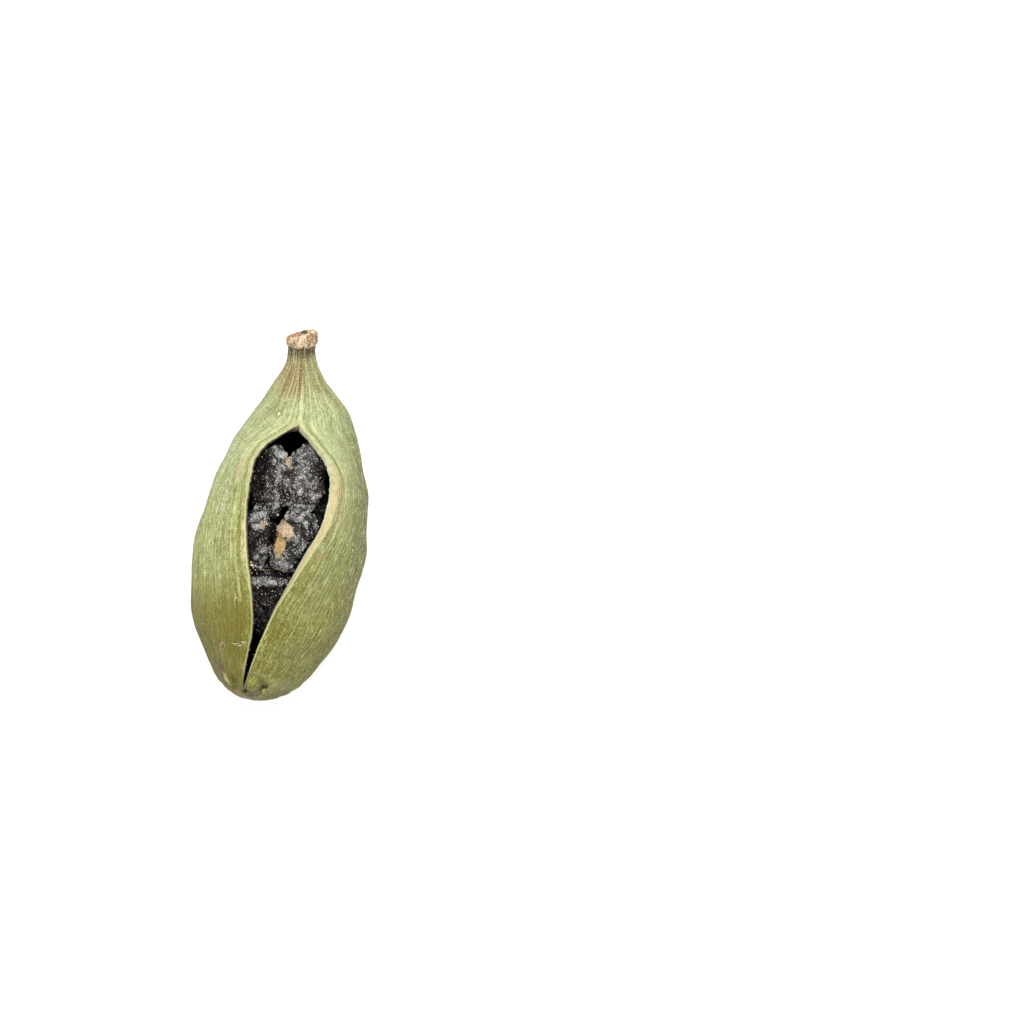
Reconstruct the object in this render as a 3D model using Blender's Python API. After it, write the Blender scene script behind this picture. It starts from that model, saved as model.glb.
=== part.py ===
"""A dried green cardamom pod, split open along one face, lying on its back with the slit up.

The pod lies along Y with its stalk at +Y. The origin is at the middle of its base.
Stations run along the pod from the tip, and angles run round it from the top towards +X.
"""

import math
import random

import bmesh
import bpy
from mathutils import Euler, Matrix, Vector

MM = 0.001

# Overall sizes, in millimetres
WALL = 0.5
AXIS_HEIGHT = 3.74
DEPTH_RATIO = 0.92
LOBE_DEPTH = 0.055
BOX_CENTRE_X = 0.204
BOX_CENTRE_Y = 10.013

# Half width of the body and sideways place of its middle, at stations from the tip
BODY_OUTLINE = (
    (0.0, 2.52, -0.20),
    (1.0, 2.58, -0.10),
    (2.0, 2.90, 0.00),
    (3.5, 3.74, 0.02),
    (5.0, 4.16, 0.08),
    (8.0, 4.47, 0.20),
    (11.0, 4.12, 0.41),
    (13.5, 3.42, 0.50),
    (15.0, 2.78, 0.60),
    (16.0, 2.21, 0.61),
    (17.0, 1.44, 0.38),
    (18.0, 0.84, 0.28),
    (18.7, 0.70, 0.19),
    (20.0, 0.70, 0.08),
)
TIP_ROUND = 2.2

# Left and right edges of the slit in the outer face; they meet where the wall is closed
SLIT_EDGES = (
    (0.0, -0.30, -0.30),
    (1.0, -0.65, -0.65),
    (2.0, -0.62, -0.22),
    (3.5, -0.42, 0.22),
    (5.0, -0.46, 0.70),
    (6.5, -0.80, 1.44),
    (8.0, -1.14, 2.20),
    (9.5, -1.42, 2.88),
    (11.0, -1.52, 3.10),
    (12.5, -1.50, 2.88),
    (13.5, -1.12, 2.42),
    (14.2, -0.38, 1.75),
    (14.6, 0.26, 1.24),
    (14.9, 0.72, 0.72),
    (16.5, 0.60, 0.60),
    (20.0, 0.10, 0.10),
)
SLIT_START = 1.0
SLIT_END = 14.9
SLIT_ROWS = 24

# Torn edge of the wall: how much of it shows from above on each side, and at the two ends
LEFT_EDGE_SHOWS = 0.13
RIGHT_EDGE_SHOWS = 0.44
SIDE_EDGES_GROW = (SLIT_START, 6.5)
SIDE_EDGES_FADE = (12.8, SLIT_END)
TOP_EDGE_SHOWS = 0.60
TOP_EDGE_GROWS = (10.5, SLIT_END)
BOTTOM_EDGE_SHOWS = 0.30
BOTTOM_EDGE_FADES = (SLIT_START, 4.0)

# The two valves stand up where the slit holds them apart
VALVE_LIFT = 0.5
VALVE_REACH = 1.9
VALVE_GROWS = (3.0, 8.0)
VALVE_FADES = (12.0, 15.2)

# Hollow inside the wall, rounded off at both ends, and its rows beyond the slit as shares of the way
HOLLOW_START = 0.75
HOLLOW_END = 16.1
HOLLOW_START_ROUND = 2.4
HOLLOW_END_ROUND = 13.4
ROWS_BELOW_SLIT = (0.85, 0.5)
ROWS_ABOVE_SLIT = (0.3, 0.6, 0.85)

# Ribs along the body with grooves between them, which get shallow as it narrows. The half width
# is a share of a rib's own width, and the squeeze is how closely the ribs crowd beside the slit
RIBS = 30
GROOVE_DEPTH = 0.13
GROOVE_HALF_WIDTH = 0.18
GROOVES_GROW = (0.3, 2.5)
GROOVES_FADE = (16.5, 18.5)
DEEPEST_GROOVE_HALF_WIDTH = 4.0
RIB_SQUEEZE = 3
NECK_RIBS = 10
NECK_RIB_HEIGHT = 0.05
NECK_RIBS_GROW = (14.5, 17.0)
NECK_RIBS_FADE = (18.6, 19.6)

# Keel where the line of the slit runs on to the stalk
KEEL_HEIGHT = 0.14
KEEL_WIDTH = 0.32
KEEL_GROWS = (14.0, 15.0)
KEEL_FADES = (16.5, 18.5)

# Folds drawn together at the blunt tip
TIP_FOLDS = 7
TIP_FOLD_HEIGHT = 0.13
TIP_FOLD_REACH = 1.1
TIP_FOLD_PHASE = 0.8
TIP_FOLDS_GROW = (0.0, 0.3)

# Bulges of the seeds through the wall of the two closed chambers
SEED_BULGE = 0.10
SEED_PITCH = 3.3
SEED_BULGE_STATION = 4.9
SEED_BULGES_GROW = (2.5, 4.5)
SEED_BULGES_FADE = (12.0, 14.0)
SLIT_LOBE = (0.9, 1.6)

# Rows of the tip, the neck and the stalk's flared end; the end rows give station and radius
TIP_ROWS = (0.02, 0.16, 0.4, 0.7)
TIP_PIT_DEPTH = 0.14
EVEN_ROWS_SHARE = 0.35
NECK_ROWS = (15.25, 15.7, 16.15, 16.6, 17.1, 17.6, 18.1, 18.5)
STALK_END = (
    (18.85, 0.72),
    (19.15, 0.84),
    (19.50, 0.88),
    (19.80, 0.80),
    (19.95, 0.63),
    (19.82, 0.42),
)
STALK_PIT_STATION = 19.45
STALK_BEND_START = 15.0
STALK_BEND_RADIUS = 13.0
STALK_BEND_END = 18.8

# Columns round the outer face, at each groove's bottom and at both its brinks, and round the hollow
COLUMNS_A_RIB = 3
HOLLOW_COLUMNS = 24

# Seeds: half sizes across, along and in depth, with soft corners and furrows across
SEED_SIZE = (1.05, 1.82, 1.05)
SEED_BLUNTNESS = 0.72
SEED_SIDES = 14
SEED_RINGS = 9
SEED_CORNERS = 5
SEED_CORNER_DEPTH = 0.08
SEED_FURROWS = 3
SEED_FURROW_DEPTH = 0.045
FRONT_PHASE_STEP = 1.3

# Seeds of the closed chambers lie two abreast
SEED_HALF_PITCH = 1.0
SEED_STAGGER = 0.12
SEED_TILT = 4.0
RANDOM_SEED = 7

# Levels of seeds in the two closed chambers: station, share of the full size, distance from the axis
BACK_LEVELS = (
    (5.00, 0.90, 1.92),
    (8.10, 1.00, 2.12),
    (11.20, 0.90, 1.84),
)

# Front seeds as the slit shows them: place sideways, along and over the axis, half sizes, and the
# turn and pitch in degrees
FRONT_SEEDS = (
    ((-0.48, 11.74, 2.02), (1.05, 1.98, 1.06), 4.0, -9.0),
    ((1.42, 11.95, 2.04), (1.00, 1.94, 1.04), -3.0, -9.0),
    ((-0.92, 8.40, 2.24), (1.10, 1.82, 1.10), 6.0, 0.0),
    ((1.12, 8.62, 2.28), (1.18, 1.78, 1.12), -14.0, -2.0),
    ((0.10, 5.35, 1.94), (1.40, 1.78, 1.06), 4.0, 5.0),
)

HUSK_COLOUR = (0.36, 0.38, 0.13, 1.0)
HUSK_ROUGHNESS = 0.75
SEED_COLOUR = (0.045, 0.032, 0.028, 1.0)
SEED_ROUGHNESS = 0.6


def clamp(value):
    """The value held between 0 and 1."""
    return min(1.0, max(0.0, value))


def smooth(start, end, value):
    """0 before start, 1 after end, and a smooth rise between them."""
    t = clamp((value - start) / (end - start))
    return t * t * (3.0 - 2.0 * t)


def between(grows, fades, station):
    """1 on a middle stretch of the pod, with a smooth rise before it and a smooth fall after it."""
    return smooth(*grows, station) * (1.0 - smooth(*fades, station))


def along(table, station):
    """The columns of a table at a station, on a smooth curve through its rows."""
    last = len(table) - 2
    i = next((k for k in range(last) if station < table[k + 1][0]), last)
    before, low, high, after = table[max(i - 1, 0)], table[i], table[i + 1], table[min(i + 2, last + 1)]
    span = high[0] - low[0]
    t = clamp((station - low[0]) / span)
    values = []
    for k in range(1, len(low)):
        start_slope = (high[k] - before[k]) / (high[0] - before[0]) * span
        end_slope = (after[k] - low[k]) / (after[0] - low[0]) * span
        values.append(
            low[k] * (2 * t**3 - 3 * t**2 + 1)
            + start_slope * (t**3 - 2 * t**2 + t)
            + high[k] * (3 * t**2 - 2 * t**3)
            + end_slope * (t**3 - t**2)
        )
    return values


def body_size(station):
    """Half width and sideways place of the body, rounded off at the tip."""
    half_width, middle = along(BODY_OUTLINE, station)
    return half_width * math.sqrt(1.0 - (1.0 - clamp(station / TIP_ROUND)) ** 2), middle


def hollow_size(station):
    """Half width and sideways place of the hollow, rounded off at both ends."""
    half_width, middle = body_size(station)
    at_start = clamp((HOLLOW_START_ROUND - station) / (HOLLOW_START_ROUND - HOLLOW_START))
    at_end = clamp((station - HOLLOW_END_ROUND) / (HOLLOW_END - HOLLOW_END_ROUND))
    return (half_width - WALL) * math.sqrt(1.0 - max(at_start, at_end) ** 3), middle


def lobed(half_width, angle):
    """Radius of the three-lobed section at an angle, with one lobe at the top."""
    return half_width * (1.0 + LOBE_DEPTH * math.cos(3.0 * angle))


def valve_lift(station, to_edge):
    """How far a valve stands out, at a distance round the section from the edge of the slit."""
    opened = between(VALVE_GROWS, VALVE_FADES, station)
    return VALVE_LIFT * opened * math.exp(-((to_edge / VALVE_REACH) ** 2))


def angle_at(sideways, station, half_width, middle):
    """Angle from the top at which an edge of the slit is at a sideways place."""
    angle = 0.0
    for _ in range(6):
        radius = lobed(half_width, angle) + valve_lift(station, 0.0)
        angle = math.asin(max(-0.99, min(0.99, (sideways - middle) / radius)))
    return angle


def spine(station):
    """Distance along Y, height and slope of the pod's middle line, which bends up at the stalk."""
    turn = (min(station, STALK_BEND_END) - STALK_BEND_START) / STALK_BEND_RADIUS
    if turn <= 0.0:
        return station, AXIS_HEIGHT, 0.0
    beyond = max(0.0, station - STALK_BEND_END)
    distance = STALK_BEND_START + STALK_BEND_RADIUS * math.sin(turn) + beyond * math.cos(turn)
    height = AXIS_HEIGHT + STALK_BEND_RADIUS * (1.0 - math.cos(turn)) + beyond * math.sin(turn)
    return distance, height, turn


def placed(station, middle, radius, angle):
    """A point of the section at a station, in metres, no lower than the surface it lies on."""
    distance, height, slope = spine(station)
    up = DEPTH_RATIO * radius * math.cos(angle)
    x = middle + radius * math.sin(angle) - BOX_CENTRE_X
    y = distance - up * math.sin(slope) - BOX_CENTRE_Y
    return Vector((x, y, max(0.0, height + up * math.cos(slope)))) * MM


def rib_shares():
    """Shares of the way round the outer face, from the slit's right edge to its left, of its columns."""
    offsets = (0.0, GROOVE_HALF_WIDTH, 1.0 - GROOVE_HALF_WIDTH)
    return [(rib + offset) / RIBS for rib in range(RIBS) for offset in offsets] + [1.0]


def even_shares():
    """Shares of the way round the hollow of its columns."""
    return [column / HOLLOW_COLUMNS for column in range(HOLLOW_COLUMNS + 1)]


def section(station, edges, size, shares):
    """Angle, distance from the slit and radius of each column, from the slit's right edge to its left."""
    left, right = (angle_at(edge, station, *size) for edge in edges)
    half_open = 0.5 * (right - left)
    for share in shares:
        crowding = (1.0 - share) ** RIB_SQUEEZE - share**RIB_SQUEEZE
        angle = 0.5 * (left + right) + 2.0 * math.pi * share + half_open * crowding
        to_edge = min(angle - right, left + 2.0 * math.pi - angle) * size[0]
        yield angle, to_edge, lobed(size[0], angle) + valve_lift(station, to_edge)


def relief(station, column, angle, half_width, to_edge):
    """Height of the grooves, folds, keel and seed bulges over the plain section."""
    height = 0.0
    if column % COLUMNS_A_RIB == 0 and 0 < column < COLUMNS_A_RIB * RIBS:
        share = clamp(half_width / DEEPEST_GROOVE_HALF_WIDTH)
        height -= GROOVE_DEPTH * share * between(GROOVES_GROW, GROOVES_FADE, station)
    neck_rib = math.cos(NECK_RIBS * angle)
    height += NECK_RIB_HEIGHT * neck_rib * between(NECK_RIBS_GROW, NECK_RIBS_FADE, station)
    folds = math.exp(-((station / TIP_FOLD_REACH) ** 2)) * smooth(*TIP_FOLDS_GROW, station)
    height += TIP_FOLD_HEIGHT * folds * math.cos(TIP_FOLDS * angle + TIP_FOLD_PHASE)
    keel = math.exp(-((to_edge / KEEL_WIDTH) ** 2))
    height += KEEL_HEIGHT * keel * between(KEEL_GROWS, KEEL_FADES, station)
    closed_lobes = max(0.0, math.cos(3.0 * angle)) * smooth(*SLIT_LOBE, min(angle, 2.0 * math.pi - angle))
    seeds = math.cos(2.0 * math.pi * (station - SEED_BULGE_STATION) / SEED_PITCH)
    return height + SEED_BULGE * closed_lobes * seeds * between(SEED_BULGES_GROW, SEED_BULGES_FADE, station)


def outer_row(station, half_width, middle):
    """Points round the outer face at a station, from the slit's right edge round to its left."""
    points = []
    columns = section(station, along(SLIT_EDGES, station), (half_width, middle), rib_shares())
    for column, (angle, to_edge, radius) in enumerate(columns):
        radius += relief(station, column, angle, half_width, to_edge)
        points.append(placed(station, middle, radius, angle))
    return points


def hollow_row(outer_station):
    """Points round the hollow, on the row that meets an outer row along the slit."""
    station = outer_station - TOP_EDGE_SHOWS * smooth(*TOP_EDGE_GROWS, outer_station)
    station += BOTTOM_EDGE_SHOWS * (1.0 - smooth(*BOTTOM_EDGE_FADES, outer_station))
    shows = between(SIDE_EDGES_GROW, SIDE_EDGES_FADE, outer_station)
    left, right = along(SLIT_EDGES, outer_station)
    edges = left + LEFT_EDGE_SHOWS * shows, right - RIGHT_EDGE_SHOWS * shows
    return hollow_ring(station, edges)


def hollow_ring(station, edges):
    """Points round the hollow at a station, between the two edges of the slit there."""
    half_width, middle = hollow_size(station)
    columns = section(station, edges, (half_width, middle), even_shares())
    return [placed(station, middle, radius, angle) for angle, _, radius in columns]


def add_row(mesh, points, is_open):
    """Adds a row of vertices; a closed row uses its first vertex again as its last."""
    row = [mesh.verts.new(point) for point in (points if is_open else points[:-1])]
    return row if is_open else row + row[:1]


def skin(mesh, rows):
    """Quads between neighbouring rows."""
    for low, high in zip(rows, rows[1:]):
        for k in range(len(low) - 1):
            mesh.faces.new((low[k], low[k + 1], high[k + 1], high[k]))


def cap(mesh, row, point, forwards):
    """Triangles from a closed row to one point."""
    pole = mesh.verts.new(point)
    for k in range(len(row) - 1):
        corners = (row[k], row[k + 1], pole)
        mesh.faces.new(corners if forwards else corners[::-1])


def slit_stations():
    """Stations of the rows along the slit, both closed ends included, closer towards its top."""
    length = SLIT_END - SLIT_START
    stations = []
    for k in range(SLIT_ROWS + 1):
        even = k / SLIT_ROWS
        closer = math.sin(0.5 * math.pi * even)
        stations.append(SLIT_START + length * (EVEN_ROWS_SHARE * even + (1.0 - EVEN_ROWS_SHARE) * closer))
    return stations


def build_outer(mesh, stations):
    """The outer face of husk and stalk. Returns its rows along the slit."""
    rows = []
    for station in TIP_ROWS:
        rows.append(add_row(mesh, outer_row(station, *body_size(station)), False))
    first = len(rows)
    for station in stations:
        is_open = SLIT_START < station < SLIT_END
        rows.append(add_row(mesh, outer_row(station, *body_size(station)), is_open))
    last = len(rows)
    for station in NECK_ROWS:
        rows.append(add_row(mesh, outer_row(station, *body_size(station)), False))
    for station, radius in STALK_END:
        middle = body_size(station)[1]
        rows.append(add_row(mesh, outer_row(station, radius, middle), False))
    skin(mesh, rows)
    tip_middle = body_size(0.0)[1]
    cap(mesh, rows[0], placed(TIP_PIT_DEPTH, tip_middle, 0.0, 0.0), False)
    stalk_middle = body_size(STALK_PIT_STATION)[1]
    cap(mesh, rows[-1], placed(STALK_PIT_STATION, stalk_middle, 0.0, 0.0), True)
    return rows[first:last]


def build_hollow(mesh, stations):
    """The inner face of the husk. Returns its rows along the slit."""
    rows = []
    for station in stations:
        is_open = SLIT_START < station < SLIT_END
        rows.append(add_row(mesh, hollow_row(station), is_open))
    start = SLIT_START + BOTTOM_EDGE_SHOWS
    end = SLIT_END - TOP_EDGE_SHOWS
    low_edge, high_edge = along(SLIT_EDGES, SLIT_START)[0], along(SLIT_EDGES, SLIT_END)[0]
    below = [start + (HOLLOW_START - start) * share for share in ROWS_BELOW_SLIT]
    above = [end + (HOLLOW_END - end) * share for share in ROWS_ABOVE_SLIT]
    low_rows = [add_row(mesh, hollow_ring(station, (low_edge, low_edge)), False) for station in below]
    high_rows = [add_row(mesh, hollow_ring(station, (high_edge, high_edge)), False) for station in above]
    every_row = low_rows + rows + high_rows
    skin(mesh, [row[::-1] for row in every_row])
    low_pole = placed(HOLLOW_START, hollow_size(HOLLOW_START)[1], 0.0, 0.0)
    high_pole = placed(HOLLOW_END, hollow_size(HOLLOW_END)[1], 0.0, 0.0)
    cap(mesh, every_row[0], low_pole, True)
    cap(mesh, every_row[-1], high_pole, False)
    return rows


def build_torn_edges(mesh, outer, hollow):
    """The wall's torn faces, which join the outer face to the hollow along both sides of the slit."""
    for k in range(len(outer) - 1):
        for side, turned in ((0, False), (-1, True)):
            corners = [outer[k][side], outer[k + 1][side], hollow[k + 1][side], hollow[k][side]]
            mesh.faces.new(corners[::-1] if turned else corners)


def make_material(name, colour, roughness):
    """A plain Principled material."""
    material = bpy.data.materials.new(name)
    material.use_nodes = True
    shader = material.node_tree.nodes["Principled BSDF"]
    shader.inputs["Base Color"].default_value = colour
    shader.inputs["Roughness"].default_value = roughness
    return material


def finish_object(name, mesh, material):
    """Turns a bmesh into a named, smooth-shaded object."""
    bmesh.ops.recalc_face_normals(mesh, faces=mesh.faces)
    data = bpy.data.meshes.new(name)
    mesh.to_mesh(data)
    mesh.free()
    data.materials.append(material)
    data.shade_smooth()
    obj = bpy.data.objects.new(name, data)
    bpy.context.scene.collection.objects.link(obj)
    return obj


def make_husk(material):
    """The husk with its stalk: one grown wall round a hollow, open along the slit."""
    mesh = bmesh.new()
    stations = slit_stations()
    outer = build_outer(mesh, stations)
    hollow = build_hollow(mesh, stations)
    build_torn_edges(mesh, outer, hollow)
    return finish_object("husk", mesh, material)


def seed_radius(angle, share, phase):
    """Radius of a seed's section over its half size."""
    corners = 1.0 + SEED_CORNER_DEPTH * math.cos(SEED_CORNERS * angle + phase)
    furrows = 1.0 + SEED_FURROW_DEPTH * math.cos(SEED_FURROWS * math.pi * share + phase)
    return corners * furrows


def make_seed(name, place, size, turn, phase, material):
    """One angular seed, blunt at both ends, lying along Y before it is turned."""
    mesh = bmesh.new()
    rows = []
    for ring in range(1, SEED_RINGS + 1):
        slope = math.pi * ring / (SEED_RINGS + 1) - 0.5 * math.pi
        share = math.sin(slope)
        width = math.cos(slope) ** SEED_BLUNTNESS
        points = []
        for side in range(SEED_SIDES + 1):
            angle = 2.0 * math.pi * side / SEED_SIDES
            radius = width * seed_radius(angle, share, phase)
            x, z = size[0] * radius * math.sin(angle), size[2] * radius * math.cos(angle)
            points.append(Vector((x, size[1] * share, z)) * MM)
        rows.append(add_row(mesh, points, False))
    skin(mesh, rows)
    cap(mesh, rows[0], Vector((0.0, -size[1], 0.0)) * MM, False)
    cap(mesh, rows[-1], Vector((0.0, size[1], 0.0)) * MM, True)
    x, station, rise = place
    centre = Vector((x - BOX_CENTRE_X, station - BOX_CENTRE_Y, AXIS_HEIGHT + rise)) * MM
    mesh.transform(Matrix.Translation(centre) @ turn.to_matrix().to_4x4())
    return finish_object(name, mesh, material)


def join_seeds(name, seeds, material):
    """One solid from seeds that cling together in one chamber of the pod."""
    group = bpy.data.collections.new(name)
    for seed in seeds[1:]:
        group.objects.link(seed)
    first = seeds[0]
    union = first.modifiers.new("Clinging seeds", "BOOLEAN")
    union.operation = "UNION"
    union.operand_type = "COLLECTION"
    union.collection = group
    union.solver = "EXACT"
    graph = bpy.context.evaluated_depsgraph_get()
    joined = bpy.data.meshes.new_from_object(first.evaluated_get(graph))
    for seed in seeds:
        bpy.data.objects.remove(seed)
    bpy.data.collections.remove(group)
    joined.name = name
    joined.materials.clear()
    joined.materials.append(material)
    cluster = bpy.data.objects.new(name, joined)
    bpy.context.scene.collection.objects.link(cluster)
    return cluster


def make_front_cluster(material):
    """The seeds of the open chamber, as the slit shows them."""
    seeds = []
    for k, (place, size, turn, pitch) in enumerate(FRONT_SEEDS):
        spin = Euler((math.radians(pitch), 0.0, math.radians(turn)))
        seeds.append(make_seed(f"front_seed_{k}", place, size, spin, FRONT_PHASE_STEP * k, material))
    return join_seeds("seeds_front", seeds, material)


def make_back_cluster(name, direction, rng, material):
    """A double row of seeds in a closed chamber, whose middle lies in a direction from the axis."""
    seeds = []
    for level, share, distance in BACK_LEVELS:
        middle = body_size(level)[1]
        size = [share * side for side in SEED_SIZE]
        for side in (-1.0, 1.0):
            across = side * share * SEED_HALF_PITCH
            x = middle + distance * math.sin(direction) + across * math.cos(direction)
            rise = distance * math.cos(direction) - across * math.sin(direction)
            station = level + side * SEED_STAGGER
            tilt = math.radians(rng.uniform(-SEED_TILT, SEED_TILT))
            spin = Euler((0.0, direction, tilt))
            phase = rng.uniform(0.0, 2.0 * math.pi)
            seed_name = f"{name}_{len(seeds)}"
            seeds.append(make_seed(seed_name, (x, station, rise), size, spin, phase, material))
    return join_seeds(name, seeds, material)


def main():
    for obj in list(bpy.data.objects):
        bpy.data.objects.remove(obj)
    husk_finish = make_material("dried_husk", HUSK_COLOUR, HUSK_ROUGHNESS)
    seed_finish = make_material("dark_seed", SEED_COLOUR, SEED_ROUGHNESS)
    make_husk(husk_finish)
    make_front_cluster(seed_finish)
    rng = random.Random(RANDOM_SEED)
    third = 2.0 * math.pi / 3.0
    make_back_cluster("seeds_back_right", third, rng, seed_finish)
    make_back_cluster("seeds_back_left", -third, rng, seed_finish)


main()
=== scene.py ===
"""Looks of a dried green cardamom pod, split open along one face, on a plain pale floor.

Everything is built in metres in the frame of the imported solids, and sizes are written in millimetres.
Stations run along the pod from its tip. Shares run round its outer face, from the slit's right edge to
its left. Angles run round it from the top towards +X.
"""

import logging
import math
from dataclasses import dataclass, field
from enum import Enum
from typing import Any

import bpy
import numpy as np
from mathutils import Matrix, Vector
from mathutils.bvhtree import BVHTree


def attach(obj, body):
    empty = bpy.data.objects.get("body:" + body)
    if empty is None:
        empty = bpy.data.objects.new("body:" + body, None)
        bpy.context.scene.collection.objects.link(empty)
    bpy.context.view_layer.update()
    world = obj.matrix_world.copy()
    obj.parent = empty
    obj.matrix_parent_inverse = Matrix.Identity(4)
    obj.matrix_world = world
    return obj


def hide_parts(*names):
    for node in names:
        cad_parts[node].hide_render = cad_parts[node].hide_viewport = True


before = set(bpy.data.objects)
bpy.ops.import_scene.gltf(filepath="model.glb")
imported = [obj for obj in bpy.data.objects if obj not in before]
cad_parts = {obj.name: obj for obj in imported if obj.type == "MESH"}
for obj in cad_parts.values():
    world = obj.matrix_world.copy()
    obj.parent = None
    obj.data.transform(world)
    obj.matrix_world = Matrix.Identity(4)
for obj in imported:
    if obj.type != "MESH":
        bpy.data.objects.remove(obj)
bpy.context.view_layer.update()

MM = 0.001
TURN = 2.0 * math.pi
SMALLEST = 1e-4

Table = tuple[tuple[float, ...], ...]
Colour = tuple[float, float, float, float]
Place = tuple[float, float, float]

log = logging.getLogger("cardamom")


class Layer(Enum):
    """The faces of the husk's wall, in the order of their materials."""

    SKIN = 0
    TORN_EDGE = 1
    LINING = 2


class Slot(Enum):
    """The material slots."""

    HUSK = "dried_husk"
    SEED = "dark_seed"


def tone(red: int, green: int, blue: int, light: float = 1.0) -> Colour:
    """A colour as seen, from 0 to 255, as the linear reflectance that shows it in a given light.

    Args:
        red, green, blue: the colour as it is seen on the object.
        light: how much light falls on it, against what a white floor needs to look white.

    Returns:
        The linear colour with an alpha of 1.
    """
    parts = []
    for part in (red, green, blue):
        share = part / 255.0
        linear = share / 12.92 if share <= 0.04045 else ((share + 0.055) / 1.055) ** 2.4
        parts.append(min(1.0, linear / light))
    return (*parts, 1.0)


def smooth(start: float, end: float, value: np.ndarray | float) -> np.ndarray:
    """0 before start, 1 after end, and a smooth rise between them."""
    t = np.clip((value - start) / (end - start), 0.0, 1.0)
    return t * t * (3.0 - 2.0 * t)


def between(grows: tuple[float, float], fades: tuple[float, float], value: np.ndarray) -> np.ndarray:
    """1 on a middle stretch, with a smooth rise before it and a smooth fall after it."""
    return smooth(*grows, value) * (1.0 - smooth(*fades, value))


def along(table: Table, place: np.ndarray) -> np.ndarray:
    """Reads a table on a smooth curve through its rows.

    Args:
        table: rows of a place and its values, in rising order of place.
        place: the places to read at.

    Returns:
        One array for each column of values.
    """
    rows = np.asarray(table, float)
    last = len(rows) - 2
    i = np.searchsorted(rows[1:-1, 0], place, side="right")
    before, low = rows[np.maximum(i - 1, 0)], rows[i]
    high, after = rows[i + 1], rows[np.minimum(i + 2, last + 1)]
    span = high[:, :1] - low[:, :1]
    t = np.clip((np.asarray(place)[:, None] - low[:, :1]) / span, 0.0, 1.0)
    start_slope = (high - before) / (high[:, :1] - before[:, :1]) * span
    end_slope = (after - low) / (after[:, :1] - low[:, :1]) * span
    values = (
        low * (2 * t**3 - 3 * t**2 + 1)
        + start_slope * (t**3 - 2 * t**2 + t)
        + high * (3 * t**2 - 2 * t**3)
        + end_slope * (t**3 - t**2)
    )
    return values[:, 1:].T


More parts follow.
